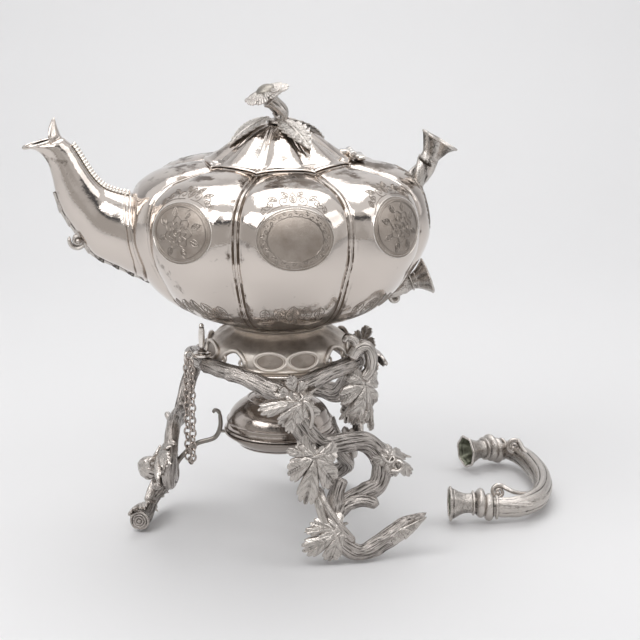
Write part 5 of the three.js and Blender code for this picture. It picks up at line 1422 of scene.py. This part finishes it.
def lampDome():
    base = lampSizes["flangeHeight"] + lampSizes["domeUp"]
    curve = flatCurve([[r * lampSizes["flangeRadius"], base + 3 + z * lampSizes["domeRise"]] for r,
                       z in domeShares], 48)
    line = [[r, base + z] for r, z in domeRim] + curve.tolist() + [[9.0, curve[-1, 1] - 1.4]]
    line += [[r - 1.4, z - 1.5] for r, z in curve[::-6] if r > 12]
    rings = []
    for share in domeRingShares:
        r, z = curve[int(share * 48)]
        rings.append(turnedShape([[r + out, z + up] for out, up in domeRing], lampSizes["sides"], looped=True))
    return [turnedShape(line, lampSizes["sides"], looped=True), *rings]


def wickPlait(a, z):
    return 1 + 0.05 * np.cos(9 * a + z * 0.9)


flange = lampSizes["flangeHeight"]
bowl = [turnedAt(flange, bowlLine, looped=False), turnedAt(flange, bowlMoulding), turnedAt(flange, bowlBelt)]
addPiece("lampBowl", bowl, finishes["lamp"], "lamp", ["lamp_bowl"], sharp=35)
addPiece("lampDome", lampDome(), finishes["lamp"], "lamp", ["lamp_dome"], sharp=35)
tubeBase = flange + lampSizes["tubeUp"]
addPiece("wickTube", [turnedAt(tubeBase, tubeLine, 72)], finishes["lamp"], "burner",
         ["wick_tube"], sharp=35)
addPiece("wickPiece", [turnedAt(tubeBase, wickLine, 72, False, wickPlait)], wickFinish(), "burner",
         ["wick"])
print("lamp made")


# Locking pin, its lug and the doubled chain

lugSizes = {"radius": 66, "azimuth": -65.5, "ring": 7, "thickness": 2.6, "eye": 3.2, "eyeWire": 0.9}
lugLine = [[2.9, 0.3], [3.3, 0], [6.4, 0], [7, 0.5], [7, 2.1], [6.4, 2.6], [3.3, 2.6], [2.9, 2.3]]
lockLine = [[0.01, 0.3], [2.0, 0.3], [2.6, 0.8], [2.6, 2.9], [3.4, 2.9], [3.8, 3.2], [3.8, 3.7], [3.2, 4.0],
            [1.7, 4.9], [1.6, 6], [2.1, 9.5], [2.35, 14], [2.25, 19], [1.7, 22.5], [1.9, 23.3], [1.3, 24.5],
            [0.01, 25]]
chainSizes = {"drop": 76, "spread": 8, "link": 2.46, "longShare": 1.28, "twist": 0.15, "wire": 0.75, "pitch": 5,
              "ring": 3.9, "ringWire": 0.8, "slack": 0.5, "lean": 0.12}
lugHeight = armSizes["height"] + armSizes["girth"] * 0.76 + 0.3
lugPlace = polar(lugSizes["radius"], lugSizes["azimuth"], lugHeight)
chainPlace = polar(lugSizes["radius"] + lugSizes["ring"] + lugSizes["eye"], lugSizes["azimuth"] - 1, lugHeight)
outward, tangent = polar(1, lugSizes["azimuth"], 0), polar(1, lugSizes["azimuth"] + 90, 0)


def wireRing(radius, wire, sides=24, around=10, long=1.0, twist=0.0):
    t = turnAngles(sides)
    points = np.stack([radius * long * np.cos(t), radius * np.sin(t), twist * np.sin(2 * t)], -1)
    return closedTube(points, wire, around)


# The chain hangs doubled: down one side, round the lowest link and up the other
def chainParts():
    c, l = chainSizes, lugSizes
    half = c["spread"] / 2
    ringDrop = l["eye"] + c["ring"] - l["eyeWire"] - c["ringWire"] - c["slack"]
    top = chainPlace + [0, 0, l["thickness"] / 2 - ringDrop]
    straight = c["drop"] - c["ring"]
    total = 2 * straight + math.pi * half
    count = 2 * round(total / c["pitch"] / 2)
    parts = [placedAs(wireRing(c["ring"], c["ringWire"], 32), top, tangent, outward)]
    link = wireRing(c["link"], c["wire"], 22, 8, c["longShare"], c["twist"])
    for k in range(count + 1):
        s = k * total / count
        bend = min(max((s - straight) / half, 0), math.pi)
        down = s if s < straight else total - s if s > total - straight else straight + half * math.sin(bend)
        place = top + tangent * -half * math.cos(bend) + [0, 0, -down]
        grow = np.array([0, 0, -math.cos(bend)]) + tangent * math.sin(bend)
        face = outward if k % 2 == 0 else np.cross(grow, outward)
        parts.append(placedAs(link, place, grow, face + outward * c["lean"] * math.sin(k * 2.1)))
    return parts


eye = placedAs(wireRing(lugSizes["eye"], lugSizes["eyeWire"]), chainPlace + [0, 0, lugSizes["thickness"] / 2],
               outward, tangent)
addPiece("pinLug", [moved(turnedShape(lugLine, 48, looped=True), at=lugPlace), eye], finishes["chased"],
         "stand", ["pin_lug"])
addPiece("lockingPin", [moved(turnedShape(lockLine, 40), at=lugPlace)], finishes["chased"], "lock_pin",
         ["lock_pin"], sharp=35)
addPiece("pinChain", chainParts(), finishes["lamp"], "pin_chain", ["pin_chain"], depth=0.2)
print("chain made")


# Loose handle on the table

gripSizes = {"span": 137, "depth": 51, "height": 20, "thickness": 15, "left": 158, "middle": 64.5, "turn": -7.5,
             "leafAt": ((0.08, 24), (0.92, 24), (0.2, 22), (0.8, 22)), "leafLean": 1.1}
gripShares = [[0, -1], [0.47, -0.985], [0.8, -0.766], [0.96, -0.43], [1, -0.066], [0.96, 0.255], [0.88, 0.56],
              [0.745, 0.825], [0.53, 1], [0.363, 0.937]]  # shares of the depth and of half the span
knopRings = [(3.0, 8.0, 3.6), (9.0, 9.4, 1.1)]  # back from the grip's end, radius and thickness
handleScrolls = [  # [middle, radius, tail points]
    ([169.5, -11.9, 17.0], 5.6, [[196.1, -12.2, 15.0], [180.8, -16.1, 18.0]]),
    ([206.3, 92.0, 17.0], 6.2, [[218.0, 63.2, 15.0], [212.2, 78.0, 18.0]]),
]
handleTrumpet = {"mouthRadius": 13.5, "length": 27, "collar": 11.5, "flutes": 7, "flute": 0.045, "lip": 0.03,
                 "gap": 0.3}
handleBell = [[0.7, 0], [0.95, 0.06], [1, 0.14], [0.9, 0.21], [0.72, 0.28], [0.66, 0.45], [0.68, 0.6]]


def gripPoints(height):
    g = gripSizes
    return np.array([[g["left"] + out * g["depth"], along * g["span"] / 2, height] for out,
                     along in gripShares])


def handleParts():
    g = gripSizes
    centre = spline(gripPoints(g["height"] / 2), 110)
    u = np.linspace(0, 1, len(centre))
    ahead = unit(np.gradient(centre, axis=0))
    side = np.stack([-ahead[:, 1], ahead[:, 0], 0 * u], -1)
    swell = 0.66 + 0.34 * np.sin(np.pi * u.clip(0.001, 0.999)) ** 0.6
    a = turnAngles(64)
    rings = 0.025 * np.cos(u * 90) * (np.abs(u - 0.5) > 0.33)
    grow = swell[:, None] * (0.93 + 0.07 * np.abs(np.cos(4 * a)) ** 0.7 + rings[:, None])
    rows = centre[:, None] + side[:, None] * (g["thickness"] / 2 * grow * np.cos(a))[..., None]
    rows[..., 2] += g["height"] / 2 * grow * np.sin(a)
    parts = [surface(rows, caps=(True, True))]
    for at, length in g["leafAt"]:
        k = int(at * 110)
        leaf = leafSheet(length, 9, 1.0, curl=0.35, cup=0.5, rows=30, half=6)
        for lean in (-1, 0, 1):
            face = unit(np.array([0, 0, 1.0]) + side[k] * lean * g["leafLean"])
            place = centre[k] + face * (7.6 if lean else 9.0) * swell[k]
            parts.append(placedAs(leaf, place, ahead[k] if at < 0.5 else -ahead[k], face))
    t = turnAngles(48)
    for end, nextTo in ((0, 3), (-1, -4)):
        aim = unit(centre[end] - centre[nextTo])
        across = np.cross([0, 0, 1.0], aim)
        for back, radius, thick in knopRings:
            ring = np.outer(radius * 0.72 * np.cos(t),
                            across) + np.outer(radius * 0.92 * np.sin(t), [0, 0, 1.0])
            parts.append(closedTube(centre[end] - aim * back + ring, thick, 10))
    return parts


def handleCurls():
    across, rise = np.array([0.99, -0.13, 0]), np.array([0, 0.25, 0.97])
    parts = []
    for middle, radius, tail in handleScrolls:
        x, y, t = coil(radius, 1.5, 0.3 * math.pi)
        turns = np.array(middle) + np.outer(x, across) + np.outer(y, rise)
        path = np.c_[np.concatenate([np.array(tail), turns]), np.r_[1.0, 1.8, 1.9 - 0.9 * t]]
        parts += [rod(path, sides=16, steps=90), ball(radius * 0.36, turns[-1], 16)]
    return parts


def handleTrumpets():
    s = handleTrumpet
    mouth, length, collar = s["mouthRadius"], s["length"], s["collar"]

    def flutes(a, z):
        return (1 + s["flute"] * np.cos(s["flutes"] * a) * smoothstep(z, 0.35 * length, length)
                - s["lip"] * (z > 0.9 * length))

    outer = [[0.01, 0]] + [[r * collar, z * length] for r, z in handleBell]
    bell = turnedShape(outer + [[mouth * 0.8, length * 0.86], [mouth, length]], 112, flutes, smooth=60)
    t = turnAngles(112)
    lipRadius = (mouth - 0.8) * (1 + s["flute"] * np.cos(s["flutes"] * t) - s["lip"])
    lip = closedTube(aroundAxis(lipRadius, t, length - 0.3), 1.0)
    band = turnedShape([[collar * 0.7, 8], [collar * 0.84, 8.6], [collar * 0.84, 9.6], [collar * 0.7, 10.2]],
                       64, looped=True)
    inner = [[mouth - 1.5, length], [mouth * 0.7, length * 0.84], [collar * 0.48, length * 0.6],
             [0.01, length * 0.55]]
    hollow = turnedShape(inner, 96, flutes, smooth=24)
    ends = gripPoints(mouth)
    trumpets = []
    for end, nextTo in ((0, 1), (-1, -2)):
        aim = unit(ends[end] - ends[nextTo])
        at = ends[end] + aim * s["gap"]
        trumpets.append(([stoodAlong(p, at, aim) for p in (bell, lip, band)], [stoodAlong(hollow, at, aim)]))
    return trumpets


# The handle is made about its own middle, then turned and laid on the table
def onTable(parts):
    turn = gripSizes["turn"] * degree
    shift = [-gripSizes["middle"] * math.sin(turn), gripSizes["middle"] * math.cos(turn), 0]
    return [onGround(moved(spun(p, turn), at=shift)) for p in parts]


addPiece("handleGrip", onTable(handleParts()) + handleCurls(), finishes["leaf"], "loose_handle",
         ["handle_grip"], sharp=60)
for title, (shell, hollow) in zip(("Front", "Back"), handleTrumpets()):
    addPiece("handleTrumpet" + title, onTable(shell), finishes["leaf"], "loose_handle",
             ["handle_trumpet_" + title.lower()])
    # the hollow takes the dark painted-shade finish
    addPiece("handleHollow" + title, onTable(hollow), finishes["mouth"], "loose_handle")
print("handle made")


# Floor, light and camera

stageSizes = {
    "turn": -7.5, "down": 0.15, "across": (-2600, -600, 0, 600, 2600),
    "sweep": [[-1600, 0], [700, 0], [900, 8], [1100, 60], [1250, 180], [1330, 380], [1350, 700], [1350, 1700]],
    "cameraPlace": (-145.5, -1342.5, 519.0), "cameraAim": (0.1261, 0.9578, -0.2583), "lens": 104.57,
    "target": (0, 0, 160),
}
lampPlaces = [  # [name, place, size, power, the point that it lights]
    ("keyLamp", (-1000, -700, 1350), 1000, 10.0, stageSizes["target"]),
    ("fillLamp", (1250, -500, 1050), 900, 3.4, stageSizes["target"]),
    ("frontLamp", (-60, -1150, 1500), 900, 6.0, stageSizes["target"]),
    ("backLamp", (100, 500, 1600), 1300, 9.0, stageSizes["target"]),
    ("wallLamp", (200, 520, 1500), 700, 1.9, (330, 1330, 600)),
]


def floorFinish():
    material = bpy.data.materials.new("paleTable")
    material.use_nodes = True
    add = nodeTree(material.node_tree)[0]
    shader = add("ShaderNodeBsdfPrincipled", {"Base Color": (0.825, 0.822, 0.826, 1), "Roughness": 0.62})
    # seen from behind, the backdrop lets the object show
    clear = add("ShaderNodeBsdfTransparent")
    back = add("ShaderNodeNewGeometry").outputs["Backfacing"]
    both = add("ShaderNodeMixShader", {0: back, 1: shader.outputs[0], 2: clear.outputs[0]})
    add("ShaderNodeOutputMaterial", {"Surface": both.outputs[0]})
    return material


# A table that sweeps up into the backdrop, square to the camera
def stageFloor():
    line = flatCurve(stageSizes["sweep"], 60)
    rows = np.array([[[x, y, z - stageSizes["down"]] for x in stageSizes["across"]] for y, z in line])
    points, faces, _ = spun(surface(rows, around=False), stageSizes["turn"] * degree)
    mesh = bpy.data.meshes.new("paleFloor")
    mesh.from_pydata((points * mm + axis).tolist(), [], faces)
    mesh.polygons.foreach_set("use_smooth", [True] * len(mesh.polygons))
    mesh.materials.append(floorFinish())
    floor = bpy.data.objects.new("paleFloor", mesh)
    bpy.context.scene.collection.objects.link(floor)


def aimed(name, data, place, direction):
    thing = bpy.data.objects.new(name, data)
    bpy.context.scene.collection.objects.link(thing)
    thing.location = (np.array(place) * mm + axis).tolist()
    thing.rotation_euler = Vector(direction).to_track_quat("-Z", "Y").to_euler()
    return thing


def addCamera():
    data = bpy.data.cameras.new("photoCamera")
    data.lens = stageSizes["lens"]
    data.sensor_width = 36
    data.clip_end = 50
    data.dof.use_dof = False
    camera = aimed("photoCamera", data, stageSizes["cameraPlace"], stageSizes["cameraAim"])
    bpy.context.scene.camera = camera


def addLamps():
    for name, place, size, power, toward in lampPlaces:
        data = bpy.data.lights.new(name, "AREA")
        data.shape = "SQUARE"
        data.size = size * mm
        data.energy = power
        aimed(name, data, place, (np.array(toward, float) - place).tolist())


# The pale backdrop, the dim room in front of it with a dark band, and the bright ceiling
def addWorld():
    world = bpy.data.worlds.new("studio")
    bpy.context.scene.world = world
    world.use_nodes = True
    add, maths, ranged = nodeTree(world.node_tree)
    direction = add("ShaderNodeTexCoord").outputs["Generated"]
    parts = add("ShaderNodeSeparateXYZ", {"Vector": direction}).outputs
    front = ranged(parts["Y"], -0.35, 0.4, interpolation_type="SMOOTHSTEP")
    high = ranged(parts["Z"], 0.6, 0.75, interpolation_type="SMOOTHSTEP")
    cloud = add("ShaderNodeTexNoise", {"Vector": direction, "Scale": 1.7, "Detail": 1.0}).outputs[0]
    shade = maths("MAXIMUM", maths("MAXIMUM", front, high), ranged(cloud, 0.45, 0.7, 0.0, 0.4))
    tones = {0: shade, 6: (0.5, 0.485, 0.47, 1), 7: (0.88, 0.882, 0.89, 1)}
    plain = add("ShaderNodeMix", tones, data_type="RGBA").outputs[2]
    band = maths("MULTIPLY", ranged(parts["Z"], 0.36, 0.46), ranged(parts["Z"], 0.6, 0.54))
    bandFront = maths("MULTIPLY", band, maths("SUBTRACT", 1.0, front))
    room = add("ShaderNodeMix", {0: bandFront, 6: plain, 7: (0.1, 0.1, 0.105, 1)}, data_type="RGBA").outputs[2]
    rays = add("ShaderNodeLightPath").outputs
    seen = maths("MAXIMUM", maths("MAXIMUM", rays["Is Camera Ray"], rays["Is Glossy Ray"]),
                 rays["Is Transmission Ray"])
    light = add("ShaderNodeMix", {0: seen, 6: (0.34, 0.34, 0.345, 1), 7: room}, data_type="RGBA").outputs[2]
    background = add("ShaderNodeBackground", {"Color": light, "Strength": 1.0})
    add("ShaderNodeOutputWorld", {"Surface": background.outputs[0]})


stageFloor()
addCamera()
addLamps()
addWorld()
bpy.context.scene.view_settings.view_transform = "Standard"
print("stage made")
